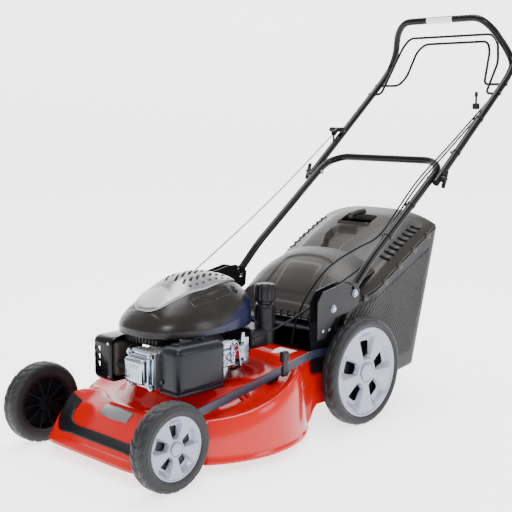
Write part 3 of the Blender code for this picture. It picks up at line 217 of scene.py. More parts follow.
def baked(obj, sharp=35):
    """The object with its modifiers made part of its mesh."""
    bpy.context.view_layer.update()
    mesh = bpy.data.meshes.new_from_object(obj.evaluated_get(bpy.context.evaluated_depsgraph_get()))
    mesh.transform(obj.matrix_world)
    obj.modifiers.clear()
    obj.matrix_world = Matrix.Identity(4)
    obj.data = shaded(mesh, sharp)
    return obj


def thickened(obj, depth):
    """A surface made into a sheet of a given depth."""
    sheet = obj.modifiers.new("sheet", "SOLIDIFY")
    sheet.thickness = depth
    sheet.offset = -1
    return baked(obj)


def boolean(target, tools, sharp=35, solver="EXACT"):
    """The target, with its faces turned outwards and the tools cut out of it."""
    bm = bmesh.new()
    bm.from_mesh(target.data)
    bmesh.ops.recalc_face_normals(bm, faces=bm.faces)
    bm.to_mesh(target.data)
    bm.free()
    for tool in tools:
        change = target.modifiers.new("boolean", "BOOLEAN")
        change.operation = "DIFFERENCE"
        change.object = tool
        change.solver = solver
    baked(target, sharp)
    for tool in tools:
        bpy.data.objects.remove(tool)
    return target


def merged(name, objects):
    """Several shapes as one."""
    bm = bmesh.new()
    for obj in objects:
        bm.from_mesh(obj.data)
        bpy.data.objects.remove(obj)
    return mesh_object(name, bm, outwards=False)


def fit(obj, body, look, *nodes):
    """Moves a drawn piece into the frame, gives it its finish and its body, and hides the solids it stands
    for.
    """
    obj.data.transform(Matrix.Translation((0, SHIFT, 0)))
    obj.data.materials.clear()
    obj.data.materials.append(look)
    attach(obj, body)
    if nodes:
        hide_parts(*nodes)
    return obj


def piece(name, shapes, body, look, *nodes):
    """Several shapes as one piece of the object."""
    return fit(merged(name, shapes), body, look, *nodes)


def turn_to(axis):
    return Vector(axis).to_track_quat("Z", "Y").to_matrix().to_4x4()


def box(name, low, high, bevel=0.0, segments=3, matrix=None):
    low, high = Vector(low), Vector(high)
    bm = bmesh.new()
    bmesh.ops.create_cube(bm, size=1.0)
    bmesh.ops.scale(bm, vec=high - low, verts=bm.verts)
    if bevel:
        bmesh.ops.bevel(bm, geom=bm.edges[:], offset=bevel, segments=segments, affect="EDGES", profile=0.5)
    bmesh.ops.translate(bm, vec=(low + high) / 2, verts=bm.verts)
    if matrix is not None:
        bmesh.ops.transform(bm, matrix=matrix, verts=bm.verts)
    return mesh_object(name, bm)


def turned(name, profile, centre, axis, sides=48):
    """A solid turned about an axis from a (radius, height) outline. A radius of 0 closes an end."""
    place = Matrix.Translation(Vector(centre)) @ turn_to(axis)
    rows = []
    for radius, height in profile:
        radius = max(radius, 0.00002)
        rows.append([place @ Vector((radius * cos(a), radius * sin(a), height)) for a in angles(sides)])
    closed = profile[0][0] == 0
    return skin(name, rows, wrap_rows=not closed, caps=closed)


def drum(name, centre, axis, radius, length, sides=32, bevel=0.0006):
    """A cylinder with softened rims."""
    half = length / 2
    return turned(name, [(0, -half), (radius - bevel, -half), (radius, -half + bevel), (radius, half - bevel),
                         (radius - bevel, half), (0, half)], centre, axis, sides)


def rounded_path(points, radius, steps=6):
    """A polyline with its corners rounded."""
    points = [Vector(p) for p in points]
    path = [points[0]]
    for before, here, after in zip(points, points[1:], points[2:]):
        one, other = (before - here), (after - here)
        reach = min(radius, one.length * 0.49, other.length * 0.49)
        start, end = here + one.normalized() * reach, here + other.normalized() * reach
        for i in range(steps + 1):
            t = i / steps
            path.append(start.lerp(here, t).lerp(here.lerp(end, t), t))
    path.append(points[-1])
    return path


def tube(name, path, radius, sides=16):
    """A closed tube along a path."""
    path = [Vector(p) for p in path]
    rows = []
    side = None
    for i, here in enumerate(path):
        along = (path[min(i + 1, len(path) - 1)] - path[max(i - 1, 0)]).normalized()
        side = (along.orthogonal() if side is None else side - along * side.dot(along)).normalized()
        up = along.cross(side)
        rows.append([here + side * radius * cos(a) + up * radius * sin(a)
                     for a in angles(sides)])
    return skin(name, rows, caps=True, sharp=60)


def softened(points):
    """A profile whose corners are cut twice until it is smooth, its ends kept."""
    for _ in range(2):
        made = [points[0]]
        for (a, b), (c, d) in zip(points, points[1:]):
            made += [(a * 0.8 + c * 0.2, b * 0.8 + d * 0.2), (a * 0.2 + c * 0.8, b * 0.2 + d * 0.8)]
        points = made + [points[-1]]
    return points


def smooth(value, low, high):
    t = max(0.0, min(1.0, (value - low) / (high - low)))
    return t * t * (3 - 2 * t)


def both_sides(half):
    return half + [(-x, y, z) for x, y, z in reversed(half)]


# Wheels: lugged tyres, silver faces with five pockets, black inner webs and, at the rear, a toothed ring
WHEELBASE = 0.654
FRONT_R, REAR_R = 0.0983, 0.14
FRONT_SEAT, REAR_SEAT = 0.0705, 0.1165
INNER_X = 0.2135
LUGS = 24
LUG_STEPS = 8
RING_TEETH = 36
POCKETS = 5
TOOTH_MODULE = 0.01 / 3
MESH_ANGLE = atan2(-0.025, 0.0374)


def on_wheel(axle, radius, angle, out):
    """A point of a left wheel, from its radius, its angle and its distance out from the inner face."""
    return (INNER_X + out, axle[0] + radius * cos(angle), axle[1] + radius * sin(angle))


def tyre(name, radius, seat, axle):
    """A tyre whose tread is cut by slanting grooves and whose wall has two fine rings."""
    wall = radius - seat
    profile = [(seat + 0.0003, 0.0025), (seat + 0.35 * wall, 0.0005), (radius - 0.012, 0.0000),
               (radius - 0.006, 0.0022), (radius - 0.003, 0.0048)]
    tread = [(radius - 0.0022 * abs(k / 5) ** 4, 0.0235 + 0.0034 * k) for k in range(-5, 6)]
    far = [(radius - 0.0035, 0.0425), (radius - 0.007, 0.045), (radius - 0.012, 0.0461),
           (radius - 0.0128, 0.0456), (radius - 0.0136, 0.0463), (seat + 0.42 * wall, 0.0465),
           (seat + 0.1 * wall, 0.0452), (seat + 0.06 * wall, 0.0444), (seat + 0.0003, 0.044)]
    whole = profile + tread + far
    rows = []
    for i, angle in enumerate(angles(LUGS * LUG_STEPS)):
        row = []
        for k, (r, out) in enumerate(whole):
            column = k - len(profile)
            if -1 <= column < len(tread) + 1:
                lean = abs(column - len(tread) // 2) * 0.9
                grooved = (i + lean) % LUG_STEPS < 1.9 or column == len(tread) // 2
                r -= 0.002 * grooved
            row.append(on_wheel(axle, r, angle, out))
        rows.append(row)
    return skin(name, rows, wrap_rows=True, sharp=50)


def pocket_depth(share, angle):
    """How far the silver face falls at a share of its radius, towards the nearest pocket's middle."""
    turn = (angle - pi / 2) % (2 * pi / POCKETS)
    turn = min(turn, 2 * pi / POCKETS - turn)
    half = 0.4 - 0.03 * share
    across = 1 - smooth(turn, half - 0.2, half)
    along = smooth(share, 0.3, 0.36) * (1 - smooth(share, 0.76, 0.93))
    return 0.012 * across * along


def silver_face(name, seat, axle):
    rings = [(0.001, 0.0452), (0.1, 0.0454), (0.19, 0.045), (0.205, 0.044), (0.21, 0.0405),
             (0.235, 0.0402), (0.245, 0.042), (0.27, 0.0424), (0.3, 0.0415), (0.32, 0.0412)]
    rings += [(0.34 + 0.03 * k, 0.0412 + 0.0008 * k / 20) for k in range(20)]
    rings += [(0.94, 0.0424), (0.95, 0.0436), (0.965, 0.0441), (0.99, 0.044), (0.998, 0.043),
              (0.998, 0.04)]
    rows = [[on_wheel(axle, seat * share, a, out - pocket_depth(share, a)) for a in angles(160)]
            for share, out in rings]
    face = thickened(skin(name, rows, sharp=40), 0.0018)
    half = [(0.345, 0.2), (0.39, 0.3), (0.66, 0.22), (0.7, 0.16)]
    outline = half + [(share, -spread) for share, spread in reversed(half)]
    windows = [skin("window", [[on_wheel(axle, seat * share, pi / 2 + turn + spread, out)
                                for share, spread in outline] for out in (0.02, 0.05)], caps=True)
               for turn in angles(POCKETS)]
    return boolean(face, windows, sharp=40)


def inner_web(name, seat, axle, out, ribs):
    """The black moulding behind the face: hub, web, barrel and radial ribs."""
    profile = [(0.0064, 0.003), (0.018, 0.003), (0.019, out), (seat - 0.009, out),
               (seat - 0.007, 0.0028), (seat - 0.0002, 0.0028), (seat - 0.0002, 0.0385),
               (seat - 0.004, 0.0385), (seat - 0.006, out + 0.003), (0.0064, out + 0.003)]
    pieces = [turned(name, profile, (INNER_X, *axle), X, 72)]
    for k in range(ribs):
        spin = Matrix.Translation((INNER_X, *axle)) @ Matrix.Rotation(2 * pi * k / ribs, 4, "X")
        pieces.append(box("rib", (0.005, 0.017, -0.0012), (out + 0.001, seat - 0.006, 0.0012), matrix=spin))
    return merged(name, pieces)


def ring_gear(name, axle):
    """The ring of inward teeth that the drive pinion turns."""
    low, high = 0.0012, 0.014
    rows = [[] for _ in range(4)]
    pitch = RING_TEETH * TOOTH_MODULE / 2
    for turn in angles(RING_TEETH):
        for radius, half in ((pitch - 0.0025, -0.0036), (pitch + 0.0034, -0.0026), (pitch + 0.0034, 0.0026),
                             (pitch - 0.0025, 0.0036)):
            angle = MESH_ANGLE + turn + half / radius
            for row, (r, out) in zip(rows, ((radius, low), (radius, high), (0.07, high), (0.07, low))):
                row.append(on_wheel(axle, r, angle, out))
    return skin(name, rows, wrap_rows=True, sharp=30)


def other_side(obj, name):
    mesh = obj.data.copy()
    mesh.transform(Matrix.Scale(-1, 4, X))
    mesh.flip_normals()
    return added(name, mesh)


def wheels():
    for end, radius, seat, axle, web, ribs in (("front", FRONT_R, FRONT_SEAT, (0.0, FRONT_R), 0.024, 10),
                                               ("rear", REAR_R, REAR_SEAT, (WHEELBASE, REAR_R), 0.015, 0)):
        tread = tyre(f"{end}_tread_left", radius, seat, axle)
        face = silver_face(f"{end}_face_left", seat, axle)
        shapes = [inner_web(f"{end}_web_left", seat, axle, web, ribs)]
        if end == "rear":
            shapes.append(ring_gear("ring", axle))
        inner = merged(f"{end}_web_left", shapes)
        for side in ("right", "left"):
            made = [tread, face, inner]
            if side == "right":
                made = [other_side(one, one.name.replace("left", "right")) for one in made]
            for shape, look, node in zip(made, (TYRE, SILVER, BLACK_PLASTIC), ("tyre", "rim", "rim")):
                fit(shape, f"{end}_wheel_{side}", look, f"{end}_{node}_{side}")


# Deck: one pressed shell, drawn as a section in every direction from the pan's centre
PAN_Y, PAN_R, SHEET = 0.287, 0.281, 0.0025
DECK_HALF_X, DECK_REAR_Y, PLATE_Z = 0.19, 0.665, 0.165
NOSE_FRONT_Y, NOSE_HALF_X, NOSE_TOP = -0.042, 0.188, (0.06, 0.13)
FRONT_PIVOT, REAR_PIVOT = (0.0374, 0.0733), (0.6914, 0.115)


def oval(dx, dy, half_x, half_y, power):
    return (abs(dx / half_x) ** power + abs(dy / half_y) ** power) ** (-1 / power)


def deck_rim(angle):
    dx, dy = cos(angle), sin(angle)
    if dy > 0:
        return max(PAN_R, oval(dx, dy, DECK_HALF_X, DECK_REAR_Y - PAN_Y, 16))
    reach = max(PAN_R, oval(dx, dy, NOSE_HALF_X, PAN_Y - NOSE_FRONT_Y, 10))
    limit = 0.196 + 0.1 * smooth(PAN_Y + dy * reach, 0.095, 0.15)
    return min(reach, limit / max(abs(dx), 0.01))


def crest(y):
    return 0.123 + 0.062 * smooth(y, 0.13, 0.52)


def nose_top(y):
    return max(0.045, NOSE_TOP[1] - 0.97 * (NOSE_TOP[0] - y))


def deck_section(angle):
    dy = sin(angle)
    rim = deck_rim(angle)
    beyond = smooth(rim - PAN_R, 0.0, 0.03)
    front, rear = (beyond, 0.0) if dy < 0 else (0.0, beyond)
    ridge = 0.255 - 0.027 * front
    if dy < 0:
        ridge = min(ridge, rim - 0.024)
    top = crest(PAN_Y + dy * ridge)
    channel = top - 0.012
    section = [(0.03, PLATE_Z), (0.125, PLATE_Z), (0.15, PLATE_Z - 0.005), (0.182, channel),
               (ridge - 0.02, channel), (ridge, top + 0.007 * front)]
    outer = rim - 0.006 - 0.006 * (front + rear)
    for reach, side_height in ((max(ridge + 0.012, rim - 0.016), top - 0.005), (outer, top - 0.04)):
        y = PAN_Y + dy * reach
        height = side_height * (1 - front - rear) + nose_top(y) * front
        height += (crest(y) - 0.002) * rear
        section.append((reach, height))
    lip = 0.036 + 0.1 * rear
    section.append((rim - 0.001, lip))
    section.append((rim + 0.003 * (1 - front - rear), lip - 0.006))
    section.append((rim + 0.0035 * (1 - front - rear), 0.024 + 0.006 * front + 0.042 * rear))
    return softened(section)


def deck():
    rows = [[(r * cos(a), PAN_Y + r * sin(a), h) for r, h in deck_section(a)] for a in angles(220)]
    shell = thickened(skin("deck_shell", rows, wrap_rows=True, wrap_points=False, sharp=40), SHEET)
    cutters = [box("mouth", (-0.1745, 0.575, -0.02), (0.1745, 0.8, 0.3)),
               box("cheek_step", (-0.3, 0.685, 0.135), (0.3, 0.8, 0.3)),
               drum("shaft_hole", (0, *REAR_PIVOT), X, 0.0085, 0.5),
               drum("rod_hole", (0, *FRONT_PIVOT), X, 0.0072, 0.5)]
    shell = fit(boolean(shell, cutters, sharp=45, solver="FAST"), "chassis", RED, "deck")
    ribs = []
    for angle in (radians(-4), radians(1)):
        spin = Matrix.Translation((0, PAN_Y, 0)) @ Matrix.Rotation(angle, 4, "Z")
        section = deck_section(angle)
        foot = section[len(section) // 3][1]
        ribs.append(box("rib", (0.168, -0.0055, foot - 0.01), (0.186, 0.0055, foot + 0.01), 0.003,
                        matrix=spin))
    piece("dome_ribs", ribs, "chassis", RED)
    rivets = [turned("rivet", [(0, 0.0012), (0.0022, 0.0009), (0.0032, -0.001), (0, -0.001)],
                     (side * (DECK_HALF_X + 0.0005), y, z), X * side, 16)
              for side in (1, -1) for y, z in ((0.585, 0.128), (0.602, 0.108), (0.56, 0.15))]
    piece("deck_rivets", rivets, "chassis", ZINC)
    return shell


# Engine
def between(profile, share):
    """The height of a (share, height) profile."""
    for (a, b), (c, d) in zip(profile, profile[1:]):
        if share <= c:
            return b + (d - b) * (share - a) / (c - a)
    return profile[-1][1]


COVER_Y = 0.262
COVER_HALF = (0.125, 0.17)
COVER_RIM_Z = 0.2845
COVER_FRONT = softened([(0.0, 0.4115), (0.2, 0.406), (0.36, 0.3945), (0.68, 0.359), (0.88, 0.332),
                        (0.97, 0.314), (1.0, 0.301)])
COVER_REAR = softened([(0.0, 0.4115), (0.2, 0.411), (0.36, 0.408), (0.68, 0.393), (0.88, 0.372),
                       (0.97, 0.352), (1.0, 0.33)])
PANEL_HALF = (0.062, 0.14)
NECK = (0.096, 0.44)


def cover_dent(x, y):
    """How deep the moulded groove, the bolt's pocket and the front crease lie."""
    groove = smooth(y, 0.205, 0.213) * (1 - smooth(y, 0.322, 0.33))
    line = 0.078 + 0.03 * max(0.0, 0.25 - y)
    groove *= smooth(x, line - 0.009, line - 0.004) * (1 - smooth(x, line + 0.006, line + 0.01))
    pocket = 1 - smooth(hypot(x - 0.078, y - 0.347), 0.0065, 0.0095)
    crease = 1 - smooth(abs(y - 0.128 + 0.1 * abs(x) ** 1.6), 0.002, 0.006)
    return 0.0065 * groove + 0.0085 * pocket + 0.0016 * crease * (1 - smooth(abs(x), 0.05, 0.07))


def cover_height(share, rear):
    """The cover's height at a share of its reach, between its front and rear profiles."""
    return between(COVER_FRONT, share) * (1 - rear) + between(COVER_REAR, share) * rear


def rearward(angle):
    return max(0.0, sin(angle)) ** 1.5


def cover_point(angle, share):
    reach = oval(cos(angle), sin(angle), *COVER_HALF, 2.5)
    x, y = share * reach * cos(angle), COVER_Y + share * reach * sin(angle)
    return (x, y, cover_height(share, rearward(angle)) - cover_dent(x, y))


def engine_cover():
    shares = [0.003] + [k / 80 for k in range(1, 70)]
    shares += [0.885, 0.905, 0.925, 0.945, 0.96, 0.975, 0.985, 0.993, 1.0]
    rows = [[cover_point(a, share) for a in angles(320)] for share in shares]
    edge = rows[-1]

    def ring(scale, z):
        return [(x * scale, COVER_Y + (y - COVER_Y) * scale, z) for x, y, _ in edge]
    for k in range(1, 10):
        rows.append([(x, y, z + (COVER_RIM_Z + 0.0012 - z) * k / 9) for x, y, z in edge])
    rows.append(ring(0.997, COVER_RIM_Z))
    rows += [ring(0.982, COVER_RIM_Z), ring(0.978, COVER_RIM_Z + 0.003)]
    rows += [[(p[0] * 0.98, COVER_Y + (p[1] - COVER_Y) * 0.98, p[2] - 0.0024) for p in row]
             for row in reversed(rows[28:len(shares)])]
    rows.append([(x * 0.9, COVER_Y + (y - COVER_Y) * 0.9, z - 0.003) for x, y, z in rows[27]])
    cover = skin("engine_cover_shell", rows, caps=True, sharp=40)
    fit(cover, "chassis", COVER_PLASTIC, "engine_cover")
    cover.data.materials.append(COVER_PAINTED_REFLECTION)
    # Faces low on the cover's left side, towards the rear, take the bluish painted reflection as their second
    # finish.
    for face in cover.data.polygons:
        x, y, z = face.center
        y -= SHIFT
        line = 0.29 + 0.066 * smooth(y, 0.2, 0.42) - 0.012 * smooth(y, 0.385, 0.43)
        if x > 0.03 and z < line and y > 0.19:
            face.material_index = 1


def top_panel():
    """The silver panel: a raised plate with rows of slanted slots and a lighter pad at its front."""
    def at(angle, share, lift):
        reach = oval(cos(angle), sin(angle), *PANEL_HALF, 3.0) * share
        whole = oval(cos(angle), sin(angle), *COVER_HALF, 2.5)
        x, y = reach * cos(angle), COVER_Y + reach * sin(angle)
        return (x, y, cover_height(reach / whole, rearward(angle)) + lift)
    shares = [0.004] + [k / 36 for k in range(1, 35)] + [0.962, 0.978, 0.99]
    levels = [(share, 0.006) for share in shares]
    levels += [(0.998, 0.0052), (1.0, 0.0038), (1.0, 0.0007), (0.95, 0.0007), (0.5, 0.0007), (0.004, 0.0007)]
    rows = [[at(a, share, lift) for a in angles(128)] for share, lift in levels]
    panel = skin("silver_panel", rows, caps=True, sharp=40)
    tools = []
    for row, (x, length) in enumerate(((-0.016, 0.036), (0.012, 0.032), (0.035, 0.022), (0.0505, 0.009))):
        for k in range(8):
            y = 0.218 + 0.021 * k + 0.004 * row
            if y > 0.372 - 0.004 * row:
                continue
            turn = Matrix.Translation((x, y, 0.395)) @ Matrix.Rotation(radians(30), 4, "Z")
            half = Vector((0.0032, length / 2, 0.05))
            tools.append(box("slot", -half, half, 0.002, 2, turn))
    fit(boolean(panel, [merged("slots", tools)], sharp=40), "chassis", PANEL_SILVER, "top_panel")
    panel.data.materials.append(PAD_SILVER)
    for face in panel.data.polygons:
        x, y = face.center[0], face.center[1] - SHIFT
        if ((x - 0.006) / 0.046) ** 2 + ((y - 0.156) / 0.028) ** 2 < 1 and face.normal.z > 0.3:
            face.material_index = 1


def filter_cover():
    parts = [box("filter_cover", (0.104, 0.08, 0.173), (0.172, 0.232, 0.282), 0.018, 6)]
    for y in (0.112, 0.192):
        parts += [box("clip", (0.122, y - 0.007, 0.2795), (0.14, y + 0.007, 0.2855), 0.002, 2),
                  box("clip_tip", (0.138, y - 0.004, 0.2785), (0.15, y + 0.004, 0.283), 0.0015, 2)]
    lower = [(0.1725, 0.098 + 0.118 * k / 20, 0.19 - 0.006 * sin(pi * k / 20)) for k in range(21)]
    parts += [tube("parting_line", lower, 0.0011, 8),
              box("front_hook", (0.112, 0.0765, 0.196), (0.124, 0.0815, 0.206), 0.001, 2),
              box("tray", (0.101, 0.084, 0.17), (0.169, 0.228, 0.18), 0.004, 3)]
    piece("air_filter_housing", parts, "chassis", FILTER_PLASTIC, "air_filter_cover")


def muffler_shell():
    guard = box("muffler_shell", (-0.131, 0.074, 0.164), (-0.05, 0.174, 0.272), 0.017, 6)
    hollow = box("hollow", (-0.128, 0.077, 0.167), (-0.03, 0.171, 0.269), 0.014, 5)
    slots = []
    for row in range(4):
        for column in range(2):
            x, z = -0.116 + 0.015 * column, 0.185 + 0.019 * row
            lean = Matrix.Translation((x, 0.072, z)) @ Matrix.Rotation(radians(20 - 40 * column), 4, "Y")
            slots.append(box("slot", (-0.0045, -0.02, -0.0058), (0.0045, 0.02, 0.0058), 0.0018, 2, lean))
    for y in [0.092 + 0.015 * k for k in range(5)]:
        slots.append(box("side_slot", (-0.14, y, 0.182), (-0.12, y + 0.007, 0.25), 0.003, 2))
    fit(boolean(guard, [hollow, merged("slots", slots)]), "chassis", BLACK_GLOSS, "muffler_guard")
    can = box("muffler_can", (-0.121, 0.09, 0.174), (-0.058, 0.164, 0.26), 0.012, 5)
    seam = box("seam", (-0.0915, 0.0885, 0.1725), (-0.0885, 0.1655, 0.2615), 0.001, 2)
    pipe = drum("pipe", (-0.046, 0.14, 0.222), X, 0.012, 0.04)
    piece("muffler_body", [can, seam, pipe], "chassis", HEATED, "muffler")
    heads = [drum("bolt", (-0.066, 0.0735, z), Y, 0.0042, 0.003, 6, 0.0005) for z in (0.258, 0.178)]
    piece("guard_bolts", heads, "chassis", ZINC)


def rocker():
    """The polished rocker cover: a flange with ears and bolts, and a lid with a blank pressed panel."""
    parts = [box("flange", (0.014, 0.0713, 0.178), (0.098, 0.0755, 0.262), 0.0022, 3)]
    for z in (0.184, 0.256):
        for x in (0.02, 0.092):
            parts += [drum("ear", (x, 0.07, z), Y, 0.0082, 0.0075, 24, 0.001),
                      drum("bolt", (x, 0.0652, z), Y, 0.0046, 0.005, 6)]
    parts += [box("lid_base", (0.02, 0.062, 0.185), (0.092, 0.0725, 0.255), 0.006, 4),
              box("lid", (0.024, 0.0462, 0.19), (0.088, 0.069, 0.25), 0.009, 5),
              box("relief", (0.034, 0.0452, 0.204), (0.078, 0.049, 0.236), 0.0016, 3)]
    for x in [0.0375 + 0.0104 * k for k in range(4)]:
        parts.append(box("rib", (x, 0.0446, 0.208), (x + 0.005, 0.047, 0.232), 0.001, 2))
    piece("rocker_lid", parts, "chassis", CHROME, "rocker_cover")


def linkages():
    """Rods, springs and levers at the carburettor, and the hose, shroud and lead round the engine."""
    rods = (((0.15, 0.24, 0.246), (0.15, 0.262, 0.222), (0.15, 0.292, 0.212)),
            ((0.146, 0.238, 0.228), (0.149, 0.262, 0.24), (0.148, 0.288, 0.256)),
            ((0.128, 0.24, 0.258), (0.134, 0.268, 0.268), (0.146, 0.3, 0.262)),
            ((0.152, 0.246, 0.214), (0.154, 0.27, 0.236), (0.152, 0.296, 0.25)))
    parts = [tube("rod", rounded_path(line, 0.006), 0.0011, 8) for line in rods]
    coil = [(0.136 + 0.0035 * cos(a), 0.25 + 0.0009 * a, 0.262 + 0.0035 * sin(a))
            for a in [pi * k / 5 for k in range(80)]]
    parts += [tube("spring", coil, 0.0006, 6),
              box("lever_plate", (0.146, 0.24, 0.252), (0.148, 0.284, 0.27), 0.0006, 2),
              box("stop_arm", (0.148, 0.268, 0.214), (0.1505, 0.276, 0.258), 0.0008, 2)]
    parts += [drum("screw", (0.15, y, z), X, 0.0038, 0.0045, 6, 0.0005)
              for y, z in ((0.246, 0.262), (0.277, 0.262), (0.272, 0.22), (0.312, 0.216), (0.3, 0.24))]
    parts += [drum("stud", (0.147, y, 0.236), X, 0.003, 0.01, 12) for y in (0.243, 0.279)]
    piece("throttle_linkages", parts, "chassis", ZINC)
    hose = [(0.124, 0.275, 0.196), (0.12, 0.31, 0.186), (0.112, 0.35, 0.2), (0.104, 0.38, 0.236)]
    fit(tube("fuel_hose", rounded_path(hose, 0.02), 0.0036, 14), "chassis", RUBBER)
    shroud = [box("shroud", (-0.046, 0.112, 0.2635), (0.066, 0.184, 0.283), 0.006, 4)]
    shroud += [box("fin", (-0.044 + 0.012 * k, 0.1095, 0.265), (-0.04 + 0.012 * k, 0.113, 0.2815), 0.001, 2)
               for k in range(10)]
    piece("cooling_shroud", shroud, "chassis", BLACK_PLASTIC)
    lead = [(-0.03, 0.092, 0.212), (-0.036, 0.098, 0.236), (-0.03, 0.125, 0.262), (-0.012, 0.15, 0.276)]
    fit(tube("plug_lead", rounded_path(lead, 0.02), 0.0034, 14), "chassis", RUBBER)


def fuel():
    x, y = NECK
    outline = [(0, 0.23), (0.026, 0.23), (0.026, 0.315), (0.0255, 0.3215), (0.0235, 0.3265), (0.02, 0.329),
               (0.02, 0.334), (0.015, 0.334), (0.015, 0.326)]
    parts = [box("tank", (-0.1, 0.372, 0.222), (0.118, 0.462, 0.27), 0.013, 5),
             turned("neck", outline, (x, y, 0), Z, 64),
             box("neck_rib", (x - 0.001, y - 0.028, 0.232), (x + 0.001, y - 0.024, 0.312), 0.0006, 2)]
    piece("fuel_neck", parts, "chassis", BLACK_PLASTIC, "fuel_tank")
    rows = []
    for radius, height, lobes in (
            (0.0002, 0.3778, 0), (0.012, 0.378, 0), (0.0135, 0.3765, 0), (0.0195, 0.3765, 0),
            (0.022, 0.3775, 0.2), (0.025, 0.375, 0.7), (0.0262, 0.3715, 1), (0.0266, 0.356, 1),
            (0.0268, 0.342, 1), (0.0262, 0.337, 0.8), (0.0235, 0.3345, 0), (0.0212, 0.3345, 0),
            (0.0212, 0.338, 0), (0.014, 0.338, 0), (0.014, 0.32, 0), (0.0002, 0.32, 0)):
        ring = [(radius - 0.0022 * lobes * max(0.0, cos(10 * a)) ** 3, a) for a in angles(120)]
        rows.append([(x + reach * cos(a), y + reach * sin(a), height) for reach, a in ring])
    parts = [skin("lobed_cap", rows, caps=True),
             box("cap_bar", (x - 0.004, y - 0.014, 0.3765), (x + 0.004, y + 0.014, 0.378), 0.0006, 2)]
    piece("fuel_cap_lobed", parts, "fuel_cap", BLACK_PLASTIC, "fuel_cap")


# Rear flap and grass box
FLAP_HALF = 0.172
FLAP_HINGE = (0.612, 0.258)
BOX_FRONT_Y, BOX_REAR_Y = 0.664, 1.033
FLAP_FACE = softened([(0.606, 0.27), (0.622, 0.3), (0.65, 0.345), (0.69, 0.385), (0.74, 0.412),
                      (0.79, 0.425)])


def flap_recess(x, share):
    """How deep the arched field in the flap lies."""
    width = 0.1 - 0.03 * max(0.0, share - 0.3)
    inside = smooth(share, 0.1, 0.13) * (1 - smooth(abs(x), width - 0.01, width))
    top = 0.8 - 0.1 * (abs(x) / 0.1) ** 2.4
    inside *= 1 - smooth(share, top - 0.05, top)
    inner = (1 - smooth(abs(x), 0.052, 0.06)) * smooth(share, 0.22, 0.25) * (1 - smooth(share, 0.62, 0.66))
    return 0.0035 * inside - 0.0018 * inner


def rear_flap():
    columns, steps = 120, 72
    lengths = [0.0]
    for (a, b), (c, d) in zip(FLAP_FACE, FLAP_FACE[1:]):
        lengths.append(lengths[-1] + hypot(c - a, d - b))

    def along(share):
        goal, last = share * lengths[-1], len(lengths) - 2
        k = next((k for k in range(last) if goal <= lengths[k + 1]), last)
        t = (goal - lengths[k]) / (lengths[k + 1] - lengths[k])
        (a, b), (c, d) = FLAP_FACE[k], FLAP_FACE[k + 1]
        return a + (c - a) * t, b + (d - b) * t, c - a, d - b
    rows = []
    for i in range(columns + 1):
        x = -FLAP_HALF + 2 * FLAP_HALF * i / columns
        drop = 0.047 * abs(x / FLAP_HALF) ** 2.6
        outer, inner = [], []
        for k in range(steps + 1):
            share = k / steps
            y, z, dy, dz = along(share)
            size = hypot(dy, dz)
            sunk = flap_recess(x, share)
            z -= drop * smooth(z, 0.26, 0.38)
            outer.append((x, y + sunk * dz / size, z - sunk * dy / size))
            inner.append((x, y + (sunk + 0.0025) * dz / size, z - (sunk + 0.0025) * dy / size))
        rows.append(outer + inner[::-1])
    panel = skin("flap_panel", rows, caps=True, sharp=40)
    notches = [drum("notch", (x, *FLAP_HINGE), X, 0.017, 0.008, 40) for x in (-0.148, 0.148)]
    boolean(panel, notches, sharp=40, solver="FAST")
    parts = [panel]
    for x in (-0.144, 0.129):
        parts.append(box("web", (x, 0.6065, 0.256), (x + 0.015, 0.6175, 0.279), 0.0015, 2))
        parts.append(drum("knuckle", (x + 0.0075, *FLAP_HINGE), X, 0.006, 0.015))
    parts.append(tube("hinge_bead", [(-0.128, 0.6085, 0.265), (0.128, 0.6085, 0.265)], 0.005, 20))
    for k in range(11):
        x = -0.12 + 0.024 * k
        parts.append(box("hinge_rib", (x - 0.0025, 0.602, 0.259), (x + 0.0025, 0.612, 0.2765), 0.0015, 2))
    piece("flap_plate", parts, "rear_flap", BOX_PLASTIC, "rear_flap")


SEAM = softened([(0.664, 0.25), (0.68, 0.285), (0.844, 0.377), (0.96, 0.442), (1.033, 0.479)])
FLOOR = [(0.664, 0.148), (0.69, 0.148), (0.77, 0.112), (0.86, 0.08), (0.945, 0.09)]
CROWNS = softened([(0.664, 0.03), (0.68, 0.048), (0.844, 0.07), (0.96, 0.06), (1.033, 0.036)])


def box_half(y):
    return 0.17 + 0.03 * smooth(y, 0.685, 0.78)


def lid_point(t, y, inset=0.0, detail=1.0):
    """A point on the lid, with t from -1 at its right edge to 1 at its left. Detail is its moulding."""
    half = box_half(y) - inset
    z = between(SEAM, y) + 0.0065 + (between(CROWNS, y) - inset) * (1 - abs(t) ** 3.0)
    bulb = 0.014 * (1 - smooth(abs(y - 0.862), 0.01, 0.04))
    groove = (1 - smooth(abs(t * half), 0.026 + bulb, 0.036 + bulb)) * smooth(y, 0.745, 0.775)
    groove *= 1 - smooth(y, 0.885, 0.902)
    shoulder = smooth(abs(t), 0.5, 0.6) * (1 - smooth(abs(t), 0.82, 0.9)) * smooth(y, 0.7, 0.75)
    shoulder *= 1 - smooth(y, 0.985, 1.02)
    return (half * t, y, z - detail * (0.019 * groove + 0.0035 * shoulder))


